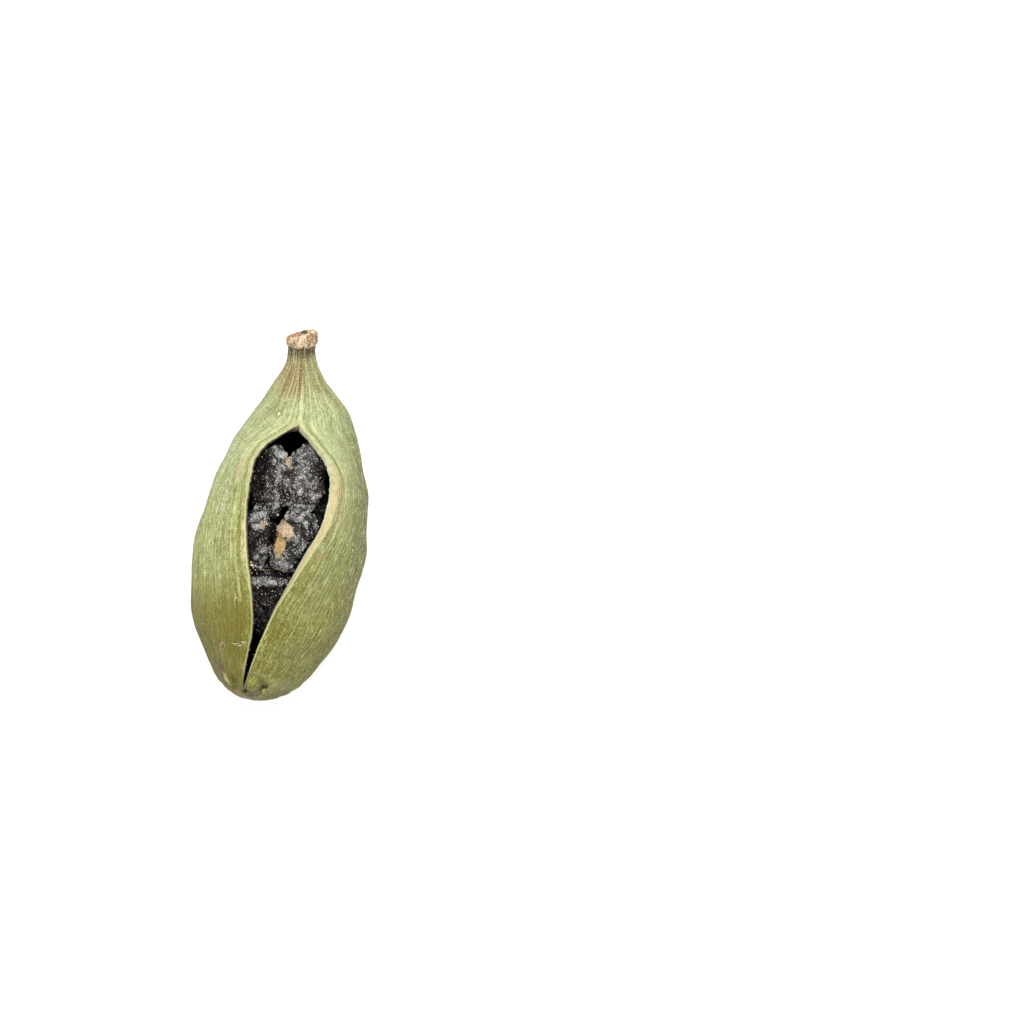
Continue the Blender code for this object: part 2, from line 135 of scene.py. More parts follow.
@dataclass(frozen=True)
class PodForm:
    """The pod's plain form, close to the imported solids: spine, outline, slit and hollow."""

    wall: float = 0.5
    axis_height: float = 3.74
    depth_ratio: float = 0.92
    lobe_depth: float = 0.055
    box_centre_x: float = 0.204
    box_centre_y: float = 10.013
    tip_round: float = 2.2
    outline: Table = (
        (0.0, 2.52, -0.20),
        (1.0, 2.58, -0.10),
        (2.0, 2.90, 0.00),
        (3.5, 3.74, 0.02),
        (5.0, 4.16, 0.08),
        (8.0, 4.47, 0.20),
        (11.0, 4.12, 0.41),
        (13.5, 3.42, 0.50),
        (15.0, 2.78, 0.60),
        (16.0, 2.21, 0.61),
        (17.0, 1.44, 0.38),
        (18.0, 0.84, 0.28),
        (18.7, 0.70, 0.19),
        (20.0, 0.70, 0.08),
    )
    slit_edges: Table = (
        (0.0, -0.30, -0.30),
        (0.7, -0.60, -0.60),
        (1.1, -0.66, -0.51),
        (2.0, -0.58, -0.27),
        (3.0, -0.47, 0.02),
        (4.0, -0.38, 0.34),
        (5.0, -0.46, 0.70),
        (6.5, -0.74, 1.42),
        (8.0, -1.08, 2.15),
        (9.5, -1.33, 2.86),
        (11.0, -1.42, 3.16),
        (11.8, -1.41, 3.10),
        (12.5, -1.34, 2.88),
        (13.0, -1.19, 2.58),
        (13.4, -0.95, 2.22),
        (13.8, -0.60, 1.80),
        (14.25, -0.06, 1.28),
        (14.6, 0.42, 0.90),
        (14.9, 0.70, 0.70),
        (16.5, 0.60, 0.60),
        (20.0, 0.10, 0.10),
    )
    slit_start: float = 0.7
    slit_end: float = 14.9
    valve_lift: float = 0.5
    valve_reach: float = 1.9
    valve_grows: tuple[float, float] = (3.0, 8.0)
    valve_fades: tuple[float, float] = (12.0, 15.2)
    hollow_start: float = 0.62
    hollow_end: float = 16.1
    hollow_start_round: float = 2.4
    hollow_end_round: float = 13.4
    rib_squeeze: int = 3
    bend_start: float = 15.0
    bend_radius: float = 13.0
    bend_end: float = 18.8

    def body_size(self, station: np.ndarray) -> tuple[np.ndarray, np.ndarray]:
        """Half width and sideways place of the body, rounded off at the tip."""
        half_width, middle = along(self.outline, station)
        rounding = 1.0 - np.clip(station / self.tip_round, 0.0, 1.0)
        return half_width * np.sqrt(1.0 - rounding**2), middle

    def hollow_size(self, station: np.ndarray) -> tuple[np.ndarray, np.ndarray]:
        """Half width and sideways place of the hollow, rounded off at both ends."""
        half_width, middle = self.body_size(station)
        start_length = self.hollow_start_round - self.hollow_start
        end_length = self.hollow_end - self.hollow_end_round
        at_start = np.clip((self.hollow_start_round - station) / start_length, 0.0, 1.0)
        at_end = np.clip((station - self.hollow_end_round) / end_length, 0.0, 1.0)
        return (half_width - self.wall) * np.sqrt(1.0 - np.maximum(at_start, at_end) ** 3), middle

    def lobed(self, half_width: np.ndarray, angle: np.ndarray) -> np.ndarray:
        """Radius of the three-lobed section at an angle, with one lobe at the top."""
        return half_width * (1.0 + self.lobe_depth * np.cos(3.0 * angle))

    def lift(self, station: np.ndarray, to_edge: np.ndarray) -> np.ndarray:
        """How far a valve stands out, at a distance round the section from the slit's edge."""
        opened = between(self.valve_grows, self.valve_fades, station)
        return self.valve_lift * opened * np.exp(-((to_edge / self.valve_reach) ** 2))

    def angle_at(self, sideways: np.ndarray, station: np.ndarray, size: tuple) -> np.ndarray:
        """Angle from the top at which an edge of the slit is at a sideways place."""
        half_width, middle = size
        angle = np.zeros_like(station)
        for _ in range(6):
            radius = self.lobed(half_width, angle) + self.lift(station, np.zeros_like(station))
            angle = np.arcsin(np.clip((sideways - middle) / radius, -0.99, 0.99))
        return angle

    def spine(self, station: np.ndarray) -> tuple[np.ndarray, np.ndarray, np.ndarray]:
        """Distance along Y, height and slope of the middle line, which bends up at the stalk."""
        turn = np.maximum(0.0, (np.minimum(station, self.bend_end) - self.bend_start) / self.bend_radius)
        beyond = np.maximum(0.0, station - self.bend_end)
        start = np.minimum(station, self.bend_start)
        distance = start + self.bend_radius * np.sin(turn) + beyond * np.cos(turn)
        rise = self.bend_radius * (1.0 - np.cos(turn)) + beyond * np.sin(turn)
        return distance, self.axis_height + rise, turn

    def placed(self, station: np.ndarray, middle: np.ndarray, radius: Any, angle: Any) -> np.ndarray:
        """Points of the section at a station, in metres, no lower than the floor they lie on."""
        distance, height, slope = self.spine(station)
        up = self.depth_ratio * radius * np.cos(angle)
        x = middle + radius * np.sin(angle) - self.box_centre_x
        y = distance - up * np.sin(slope) - self.box_centre_y
        z = np.maximum(0.0, height + up * np.cos(slope))
        return np.stack(np.broadcast_arrays(x, y, z), axis=-1) * MM

    def section(self, station: np.ndarray, edges: Any, size: tuple, shares: np.ndarray) -> tuple:
        """Lays columns round the section at each station.

        Args:
            station: one station for each row.
            edges: sideways places of the slit's left and right edge.
            size: half width and sideways place of the middle, for each row.
            shares: share of the way round, for each column.

        Returns:
            Angle, distance from the slit and radius, one row for each station.
        """
        left, right = (self.angle_at(edge, station, size)[:, None] for edge in edges)
        share = shares[None, :]
        crowding = (1.0 - share) ** self.rib_squeeze - share**self.rib_squeeze
        angle = 0.5 * (left + right) + TURN * share + 0.5 * (right - left) * crowding
        half_width = size[0][:, None]
        to_edge = np.minimum(angle - right, left + TURN - angle) * half_width
        return angle, to_edge, self.lobed(half_width, angle) + self.lift(station[:, None], to_edge)


class Value:
    """One output socket of a node tree. Arithmetic on it adds the nodes that work it out."""

    def __init__(self, nodes: "Nodes", socket: bpy.types.NodeSocket) -> None:
        """Keeps the tree's builder and the socket."""
        self.nodes = nodes
        self.socket = socket

    @property
    def is_vector(self) -> bool:
        """Whether the socket carries a vector or a colour."""
        return self.socket.type in ("VECTOR", "RGBA")

    def math(self, operation: str, *others: Any) -> "Value":
        """A Math node with this value first."""
        values = dict(enumerate((self, *others)))
        return self.nodes.node("ShaderNodeMath", {"operation": operation}, values)

    def vector_math(self, operation: str, *others: Any) -> "Value":
        """A Vector Math node with this vector first."""
        values = dict(enumerate((self, *others)))
        return self.nodes.node("ShaderNodeVectorMath", {"operation": operation}, values)

    def __add__(self, other: Any) -> "Value":
        """Sum."""
        return self.vector_math("ADD", other) if self.is_vector else self.math("ADD", other)

    def __sub__(self, other: Any) -> "Value":
        """Difference."""
        return self.vector_math("SUBTRACT", other) if self.is_vector else self.math("SUBTRACT", other)

    def __mul__(self, other: Any) -> "Value":
        """Product. A vector is scaled by a number."""
        if not self.is_vector:
            return self.math("MULTIPLY", other)
        return self.nodes.node("ShaderNodeVectorMath", {"operation": "SCALE"}, {0: self, "Scale": other})

    def __truediv__(self, other: Any) -> "Value":
        """Quotient of two numbers."""
        return self.math("DIVIDE", other)

    def __pow__(self, other: Any) -> "Value":
        """Power of a number."""
        return self.math("POWER", other)

    def __neg__(self) -> "Value":
        """The negative of a number."""
        return self.math("MULTIPLY", -1.0)

    def __rsub__(self, other: float) -> "Value":
        """A number less this value."""
        return (-self).math("ADD", other)

    __radd__ = __add__
    __rmul__ = __mul__

    def clamped(self) -> "Value":
        """The number held between 0 and 1."""
        return self.math("MAXIMUM", 0.0).math("MINIMUM", 1.0)

    def rise(self, low: float, high: float) -> "Value":
        """0 at low, 1 at high and smooth between them; it falls where low is the higher."""
        settings = {"interpolation_type": "SMOOTHSTEP"}
        return self.nodes.node("ShaderNodeMapRange", settings, {"Value": self, "From Min": low, "From Max": high})

    def parts(self) -> tuple["Value", "Value", "Value"]:
        """The three numbers of a vector."""
        made = self.nodes.node("ShaderNodeSeparateXYZ", {}, {0: self})
        return tuple(Value(self.nodes, output) for output in made.socket.node.outputs)


class Nodes:
    """Adds nodes to a shader or geometry tree."""

    def __init__(self, tree: bpy.types.NodeTree) -> None:
        """Keeps the tree."""
        self.tree = tree

    def node(self, kind: str, settings: dict[str, Any], values: dict[Any, Any], output: Any = 0) -> Value:
        """Adds one node.

        Args:
            kind: Blender's type of the node.
            settings: its properties, set first.
            values: a number, colour or Value for each input, by place, identifier or name.
            output: the output that is wanted.

        Returns:
            The wanted output.
        """
        made = self.tree.nodes.new(kind)
        for name, setting in settings.items():
            setattr(made, name, setting)
        for key, value in values.items():
            socket = self.find(made.inputs, key)
            if isinstance(value, Value):
                self.tree.links.new(value.socket, socket)
            else:
                socket.default_value = value
        return Value(self, self.find(made.outputs, output))

    @staticmethod
    def find(sockets: Any, key: Any) -> bpy.types.NodeSocket:
        """The socket with a place, an identifier or a name."""
        if isinstance(key, int):
            return sockets[key]
        return next((s for s in sockets if s.identifier == key), None) or sockets[key]

    def vector(self, x: Any, y: Any, z: Any) -> Value:
        """A vector of three numbers."""
        return self.node("ShaderNodeCombineXYZ", {}, {0: x, 1: y, 2: z})

    def noise(self, at: Value, scale: float, detail: float = 2.0, rough: float = 0.5, seed: Any = 0.0) -> Value:
        """Soft noise from about 0 to 1, whose pattern depends on a seed."""
        settings = {"noise_dimensions": "4D"}
        values = {"Vector": at, "W": seed, "Scale": scale, "Detail": detail, "Roughness": rough}
        return self.node("ShaderNodeTexNoise", settings, values)

    def lumps(self, at: Value, scale: float, softness: float = 0.4, seed: Any = 0.0) -> Value:
        """Distance from the nearest of scattered points, smooth across their borders."""
        settings = {"voronoi_dimensions": "4D", "feature": "SMOOTH_F1"}
        values = {"Vector": at, "W": seed, "Scale": scale, "Smoothness": softness}
        return self.node("ShaderNodeTexVoronoi", settings, values, "Distance")

    def mixed(self, factor: Any, low: Any, high: Any) -> Value:
        """A colour from low, where factor is 0, to high, where it is 1."""
        values = {"Factor_Float": factor, "A_Color": low, "B_Color": high}
        return self.node("ShaderNodeMix", {"data_type": "RGBA"}, values, "Result_Color")

    def ring(self, share: Value, station: Value, cells: float, stretch: float) -> Value:
        """A place for noise that closes round the pod and is drawn out along it.

        Args:
            share: share of the way round.
            station: station along the pod, in millimetres.
            cells: cells of noise in one round.
            stretch: cells of noise in a millimetre along the pod.

        Returns:
            The place as a vector.
        """
        turn = share * TURN
        radius = cells / TURN
        return self.vector(turn.math("COSINE") * radius, turn.math("SINE") * radius, station * stretch)

    def rib_waves(self, share: Value, station: Value, grooves: Any, ribs: Any, seed: Any) -> tuple[Value, Value]:
        """The uneven fine ribs of the pod and the deeper grooves among them.

        Args:
            share: share of the way round.
            station: station along the pod, in millimetres.
            grooves, ribs: how many of each there are in one round.
            seed: what their unevenness depends on.

        Returns:
            Height of the fine ribs and depth of the grooves, each from 0 to 1.
        """
        wobble = self.noise(self.ring(share, station, 12.0, 0.16), 1.0, 2.0, 0.5, seed) - 0.5
        uneven = self.noise(self.ring(share, station, 60.0, 0.10), 1.0, 2.0, 0.6, seed + 4.0)
        wave = (share * ribs + wobble * 3.0) * TURN
        fine = (wave.math("COSINE") * 0.5 + 0.5) ** 0.7 * (uneven.rise(0.25, 0.70) * 0.8 + 0.2)
        off_groove = ((share * grooves + wobble * 1.2 + 0.5).math("FRACT") - 0.5).math("ABSOLUTE")
        off_seam = share.rise(0.005, 0.02) * share.rise(0.995, 0.98)
        return fine, off_groove.rise(0.17, 0.0) * uneven.rise(0.62, 0.30) * off_seam


    def oval(self, place: Value, x: float, y: float, half_width: float, half_length: float, lean: float) -> Value:
        """Distance from the middle of an oval on the pod's upper side.

        Args:
            place: where it is asked, in millimetres.
            x, y: the oval's middle, in millimetres.
            half_width, half_length: its size across and along.
            lean: how far it is turned from Y towards X, in degrees.

        Returns:
            0 at the middle and 1 on the oval's line.
        """
        cosine, sine = math.cos(math.radians(lean)), math.sin(math.radians(lean))
        here_x, here_y, _ = place.parts()
        across = ((here_x - x) * cosine - (here_y - y) * sine) / half_width
        length = ((here_x - x) * sine + (here_y - y) * cosine) / half_length
        return (across * across + length * length) ** 0.5

    def bloom_and_light(self, place: Value) -> Value:
        """How thick the grey meal lies on the seeds at a place in millimetres, from 0 to 1; partly painted light, as
        its clouds sit where light falls on the seeds' tops.
        """
        thick = self.noise(place, 0.9, 2.0, 0.5, 4.0).rise(0.52, 0.70) * 0.08
        for x, y, half_width, half_length, lean, strength in BLOOM_AND_LIGHT:
            cloud = self.oval(place, x, y, half_width, half_length, lean).rise(1.3, 0.45) * strength
            thick = thick.math("MAXIMUM", cloud)
        return thick * (self.noise(place, 2.6, 3.0, 0.65, 4.0).rise(0.36, 0.56) * 0.85 + 0.15)


class GeometryTree(Nodes):
    """A geometry tree with named inputs, built in code."""

    SOCKETS = {int: "NodeSocketInt", float: "NodeSocketFloat", tuple: "NodeSocketVector"}

    def __init__(self, name: str, sizes: dict[str, Any]) -> None:
        """Starts a tree.

        Args:
            name: the tree's name.
            sizes: the named inputs with their values.
        """
        super().__init__(bpy.data.node_groups.new(name, "GeometryNodeTree"))
        self.sizes = sizes
        interface = self.tree.interface
        interface.new_socket("Geometry", in_out="INPUT", socket_type="NodeSocketGeometry")
        interface.new_socket("Geometry", in_out="OUTPUT", socket_type="NodeSocketGeometry")
        for label, size in sizes.items():
            interface.new_socket(label, in_out="INPUT", socket_type=self.SOCKETS[type(size)])
        self.start = self.tree.nodes.new("NodeGroupInput")

    def __getitem__(self, label: str) -> Value:
        """The input with a name."""
        return Value(self, self.start.outputs[label])

    def attribute(self, name: str) -> Value:
        """A named number at each point."""
        return self.node("GeometryNodeInputNamedAttribute", {"data_type": "FLOAT"}, {"Name": name})

    def kept(self, geometry: Value, name: str, value: Value, domain: str = "POINT") -> Value:
        """Stores a named number on the geometry."""
        settings = {"data_type": "FLOAT", "domain": domain}
        values = {"Geometry": geometry, "Name": name, "Value": value}
        return self.node("GeometryNodeStoreNamedAttribute", settings, values)

    def random(self, low: Any, high: Any, offset: int) -> Value:
        """A random number for each point, by the tree's seed and an offset of its own."""
        values = {"Min_001": low, "Max_001": high, "Seed": self["Seed"] + offset}
        return self.node("FunctionNodeRandomValue", {"data_type": "FLOAT"}, values, "Value_001")

    def moved(self, geometry: Value, offset: Value) -> Value:
        """The geometry with its points moved."""
        return self.node("GeometryNodeSetPosition", {}, {"Geometry": geometry, "Offset": offset})

    def finish(self, geometry: Value, finishes: list[tuple[Any, bpy.types.Material]]) -> None:
        """Ends the tree with Realize Instances and Set Material.

        Args:
            geometry: what the tree gives out.
            finishes: a selection of faces and its material, in the order they are given.
        """
        geometry = self.node("GeometryNodeRealizeInstances", {}, {0: geometry})
        for selection, material in finishes:
            values = {"Geometry": geometry, "Selection": selection, "Material": material}
            geometry = self.node("GeometryNodeSetMaterial", {}, values)
        end = self.tree.nodes.new("NodeGroupOutput")
        self.tree.links.new(geometry.socket, end.inputs[0])

    def grow(self, name: str, base: bpy.types.Mesh, **sizes: Any) -> bpy.types.Object:
        """Runs the tree on a mesh and keeps the result as a plain mesh.

        Args:
            name: the new piece's name.
            base: the mesh that the tree starts from.
            sizes: inputs that differ from the tree's own, with _ for a space in their names.

        Returns:
            The new piece, with no modifier on it.
        """
        wanted = {label.replace("_", " ").capitalize(): size for label, size in sizes.items()}
        piece = new_object(name, base)
        grower = piece.modifiers.new("Grow", "NODES")
        grower.node_group = self.tree
        for item in self.tree.interface.items_tree:
            if item.item_type == "SOCKET" and item.in_out == "INPUT" and item.name in self.sizes:
                grower[item.identifier] = wanted.get(item.name, self.sizes[item.name])
        graph = bpy.context.evaluated_depsgraph_get()
        grown = bpy.data.meshes.new_from_object(piece.evaluated_get(graph))
        piece.modifiers.remove(grower)
        grown.name = name
        grown.shade_smooth()
        piece.data = grown
        return piece


class ShaderTree(Nodes):
    """A material's tree, which starts empty."""

    def __init__(self, name: str) -> None:
        """Starts the material."""
        self.material = bpy.data.materials.new(name)
        self.material.use_nodes = True
        super().__init__(self.material.node_tree)
        self.tree.nodes.clear()
        coordinates = self.node("ShaderNodeTexCoord", {}, {}, "Object")
        self.place = coordinates * (1.0 / MM)

    def attribute(self, name: str) -> Value:
        """A named number of the piece's own."""
        return self.node("ShaderNodeAttribute", {"attribute_name": name}, {}, "Fac")

    def husk_place(self) -> tuple[Value, Value]:
        """Share of the way round and station along the pod, from the piece's own UV map."""
        share, length, _ = self.node("ShaderNodeUVMap", {}, {}).parts()
        return share, length * Husk.uv_length

    def mark(self, x: float, y: float, half_width: float, half_length: float, lean: float, edge: float) -> Value:
        """A ragged oval mark on the pod's upper side.

        Args:
            x, y: its middle, in millimetres.
            half_width, half_length: its size across and along.
            lean: how far it is turned from Y towards X, in degrees.
            edge: how ragged it is, as a share of its size.

        Returns:
            1 inside the mark and 0 outside it.
        """
        ragged = (self.noise(self.place, 5.0, 3.0, 0.6, x) - 0.5) * (2.0 * edge)
        distance = self.oval(self.place, x, y, half_width, half_length, lean) + ragged
        return distance.rise(1.1, 0.75) * self.place.parts()[2].rise(3.5, 4.2)

    def finish(self, colour: Any, roughness: Any, height: Value | None, depth: float, **constants: float) -> Any:
        """Ends the material in a Principled shader.

        Args:
            colour, roughness: what the surface shows.
            height: relief for a Bump node, from 0 to 1, or None.
            depth: how deep that relief is, in millimetres.
            constants: other inputs of the shader, with _ for a space in their names.

        Returns:
            The material.
        """
        values = {"Base Color": colour, "Roughness": roughness}
        values.update({label.replace("_", " "): constant for label, constant in constants.items()})
        if height is not None:
            relief = {"Height": height, "Distance": depth * MM, "Strength": 1.0}
            values["Normal"] = self.node("ShaderNodeBump", {}, relief)
        surface = self.node("ShaderNodeBsdfPrincipled", {}, values)
        end = self.tree.nodes.new("ShaderNodeOutputMaterial")
        self.tree.links.new(surface.socket, end.inputs["Surface"])
        return self.material


def new_object(name: str, mesh: bpy.types.Mesh) -> bpy.types.Object:
    """A new object at the origin with a mesh."""
    piece = bpy.data.objects.new(name, mesh)
    bpy.context.scene.collection.objects.link(piece)
    return piece


@dataclass(frozen=True)
class SkinFinish:
    """The husk's dry green skin: pale ribs, olive grooves, a tan neck and the marks of its drying, with painted shade
    low on its sides, in its grooves and in its pits, and painted highlights on the keel and along the slit's edge.
    """

    light: float = 1.45
    leaf: tuple[int, int, int] = (172, 180, 102)
    pale: tuple[int, int, int] = (190, 206, 160)
    olive: tuple[int, int, int] = (118, 110, 24)
    # Painted shade for the skin's lower sides.
    shade: tuple[int, int, int] = (116, 114, 60)
    # Dark olive of the grooves and flecks, also used as painted shade on the right flank.
    groove: tuple[int, int, int] = (100, 96, 24)
    crest: tuple[int, int, int] = (226, 232, 176)
    straw: tuple[int, int, int] = (208, 206, 120)
    moss: tuple[int, int, int] = (156, 150, 74)
    shadow: tuple[int, int, int] = (72, 68, 34)
    whitish: tuple[int, int, int] = (240, 242, 226)
    tan: tuple[int, int, int] = (168, 134, 88)
    stain: tuple[int, int, int] = (88, 68, 36)
    pink: tuple[int, int, int] = (204, 168, 138)
    stalk: tuple[int, int, int] = (238, 214, 180)
    bark: tuple[int, int, int] = (166, 122, 88)
    hole: tuple[int, int, int] = (44, 38, 22)
    purple: tuple[int, int, int] = (110, 98, 74)

    def seen(self, name: str) -> Colour:
        """One of the colours as a reflectance."""
        return tone(*getattr(self, name), self.light)

    def material(self) -> bpy.types.Material:
        """Builds the material."""
        tree = ShaderTree("dried husk skin")
        share, station = tree.husk_place()
        at_x, _, at_z = tree.place.parts()
        to_edge = tree.attribute("to_edge")
        fine, groove = tree.rib_waves(share, station, 30.0, 78.0, 3.0)
        body = station.rise(0.8, 2.5) * station.rise(18.8, 17.5)
        upper = station.rise(3.5, 9.0) * 0.65 + 0.35
        strands = tree.noise(tree.ring(share, station, 300.0, 0.45), 1.0, 2.0, 0.6)
        streaks = tree.noise(tree.ring(share, station, 110.0, 0.20), 1.0, 3.0, 0.6, 2.0)
        broad = tree.noise(tree.ring(share, station, 36.0, 0.30), 1.0, 3.0, 0.6, 6.0)
        patches = tree.noise(tree.place, 0.42, 2.0, 0.5, 5.0)
        clouds = tree.noise(tree.place, 1.3, 3.0, 0.6, 15.0)
        mottle = tree.noise(tree.place, 4.2, 3.0, 0.7, 8.0)
        grain = tree.noise(tree.place, 12.0, 2.0, 0.7, 3.0)
        colour = tree.mixed(station.rise(8.5, 14.5) * 0.7, self.seen("leaf"), self.seen("pale"))
        low_end = station.rise(8.0, 3.0) * (patches * 0.6 + clouds * 0.4).rise(0.30, 0.56)
        colour = tree.mixed(low_end * at_x.rise(3.0, -1.0) * 0.85, colour, self.seen("olive"))
        colour = tree.mixed(low_end * 0.45, colour, self.seen("olive"))
        low_left = at_x.rise(0.0, -1.3) * station.rise(6.8, 4.2)
        colour = tree.mixed(low_left * 0.85, colour, self.seen("olive"))
        colour = tree.mixed(clouds.rise(0.46, 0.66) * 0.45, colour, self.seen("olive"))
        # Painted shade: the skin darkens lower down its sides, where they turn away from the light.
        colour = tree.mixed(at_z.rise(5.8, 2.2) * 0.60, colour, self.seen("shade"))
        # Painted shade on the right flank, in the grooves' dark olive.
        colour = tree.mixed(at_x.rise(2.2, 4.2) * at_z.rise(6.6, 4.4) * 0.85, colour, self.seen("groove"))
        colour = tree.mixed(at_x.rise(0.2, 2.2) * station.rise(10.5, 7.0) * 0.22, colour, self.seen("olive"))
        light_rib = tree.mixed(upper, self.seen("straw"), self.seen("crest"))
        low_right = at_x.rise(0.8, 3.2) * station.rise(11.5, 8.0)
        light_rib = tree.mixed((low_left * 0.9 + low_right * 0.10).clamped(), light_rib, self.seen("moss"))
        # Gaps between the fine ribs and the deeper grooves darker: partly painted shade in the grooves, partly the
        # fibres' own streaky tone.
        colour = tree.mixed((1.0 - fine) * body * strands.rise(0.2, 0.6) * 0.50, colour, self.seen("groove"))
        colour = tree.mixed(groove * body * 0.80, colour, self.seen("groove"))
        colour = tree.mixed(fine * body * strands.rise(0.42, 0.66) * 0.48, colour, light_rib)
        colour = tree.mixed(streaks.rise(0.50, 0.64) * 0.50, colour, self.seen("olive"))
        colour = tree.mixed(mottle.rise(0.52, 0.70) * 0.50, colour, light_rib)
        colour = tree.mixed(mottle.rise(0.46, 0.32) * 0.35, colour, self.seen("olive"))
        flecks = tree.noise(tree.ring(share, station, 240.0, 1.8), 1.0, 2.0, 0.7, 21.0)
        colour = tree.mixed(flecks.rise(0.54, 0.66) * 0.65, colour, light_rib)
        colour = tree.mixed(flecks.rise(0.45, 0.32) * 0.60, colour, self.seen("groove"))
        open_slit = station.rise(0.8, 2.0) * station.rise(15.2, 14.7)
        arch = to_edge.rise(1.3, 0.2) * station.rise(9.0, 13.0) * open_slit * strands.rise(0.3, 0.55)
        colour = tree.mixed(arch * 0.40, colour, self.seen("crest"))
        # Painted shade: dark olive streaks in the shallow groove beside the slit's lip.
        lip_groove = to_edge.rise(0.18, 0.32) * to_edge.rise(0.62, 0.42) * open_slit * station.rise(3.0, 6.0)
        colour = tree.mixed(lip_groove * streaks.rise(0.30, 0.52) * 0.6, colour, self.seen("olive"))
        # A pale line along the slit's edge: partly the thin lip's own pale tone, partly painted highlight.
        colour = tree.mixed(to_edge.rise(0.08, 0.02) * open_slit * 0.6, colour, self.seen("crest"))
        # Painted highlight along the raised keel above the slit.
        keel = to_edge.rise(0.16, 0.04) * station.rise(14.8, 15.2) * station.rise(18.4, 17.0)
        colour = tree.mixed(keel * strands.rise(0.25, 0.5) * 0.7, colour, self.seen("crest"))
        neck = station.rise(15.4, 17.4)
        browned = neck * (at_x.rise(0.75, 0.05) * at_x.rise(-1.25, -0.6) * 0.75 + 0.25)
        colour = tree.mixed(browned * (broad.rise(0.36, 0.56) * 0.85 + 0.10), colour, self.seen("tan"))
        colour = tree.mixed(browned * streaks.rise(0.44, 0.58) * 0.6, colour, self.seen("stain"))
        colour = tree.mixed(browned * broad.rise(0.52, 0.64) * 0.7, colour, self.seen("stain"))
        colour = tree.mixed(neck * streaks.rise(0.46, 0.34) * 0.5, colour, self.seen("crest"))
        stained = (broad * 0.6 + streaks * 0.4).rise(0.38, 0.48)
        under_rim = station.rise(18.3, 18.9) * station.rise(19.25, 19.1) * stained
        colour = tree.mixed(under_rim * 0.9, colour, self.seen("stain"))
        colour = tree.mixed(under_rim * at_x.rise(0.8, -0.1) * 0.6, colour, self.seen("hole"))
        knob = station.rise(19.05, 19.15)
        bark = tree.mixed(mottle.rise(0.42, 0.56), self.seen("bark"), self.seen("stalk"))
        bark = tree.mixed(grain.rise(0.46, 0.34) * 0.6, bark, self.seen("stain"))
        colour = tree.mixed(knob, colour, bark)
        colour = tree.mixed(knob * station.rise(19.35, 19.6) * clouds.rise(0.40, 0.56) * 0.6, colour, self.seen("bark"))
        tip = station.rise(1.6, 0.2) * broad.rise(0.60, 0.40) * mottle.rise(0.62, 0.40)
        colour = tree.mixed(tip * 0.7, colour, self.seen("purple"))
        lip = to_edge.rise(0.09, 0.04) * open_slit * station.rise(9.5, 12.5) * mottle.rise(0.42, 0.50)
        colour = tree.mixed(lip * 0.8, colour, self.seen("pink"))
        # A pale cream band along the slit's left lip, lower down, mottled.
        pale_left_band = to_edge.rise(0.36, 0.12) * at_x.rise(-0.4, -0.9) * station.rise(6.4, 7.4) * station.rise(10.4, 9.4)
        colour = tree.mixed(pale_left_band * mottle.rise(0.44, 0.58) * 0.42, colour, self.seen("stalk"))
        # Near-white patches, most of them near the left outline, broken up by the grain.
        for x, y, half_width, half_length, lean in WHITISH_PATCHES:
            whitened = tree.mark(x, y, half_width, half_length, lean, 2.4) * grain.rise(0.50, 0.60)
            colour = tree.mixed(whitened * 0.55, colour, self.seen("whitish"))
        speckled = strands.rise(0.2, 0.5) * (mottle.rise(0.40, 0.52) * 0.6 + 0.4)
        for x, y, half_width, half_length, lean, rise in TIP_FOLDS:
            fold = tree.oval(tree.place, x, y, half_width, half_length, lean) + (mottle - 0.5) * 1.2
            if rise > 0.0:
                fold = fold.rise(0.75, 1.1) * fold.rise(1.6, 1.2)
            else:
                fold = fold.rise(1.1, 0.4)
            colour = tree.mixed(fold * at_z.rise(3.5, 4.2) * (abs(rise) * 2.2), colour, self.seen("shadow"))
        for mark, name, strength in self.marks(tree):
            colour = tree.mixed(mark * strength * speckled, colour, self.seen(name))
        colour = tree.mixed(grain.rise(0.52, 0.68) * 0.60, colour, light_rib)
        colour = tree.mixed(grain.rise(0.47, 0.30) * 0.45, colour, self.seen("groove"))
        relief = strands * 0.5 + grain * 0.5
        roughness = mottle * 0.2 + 0.55
        return tree.finish(colour, roughness, relief, 0.04, Specular_IOR_Level=0.3)

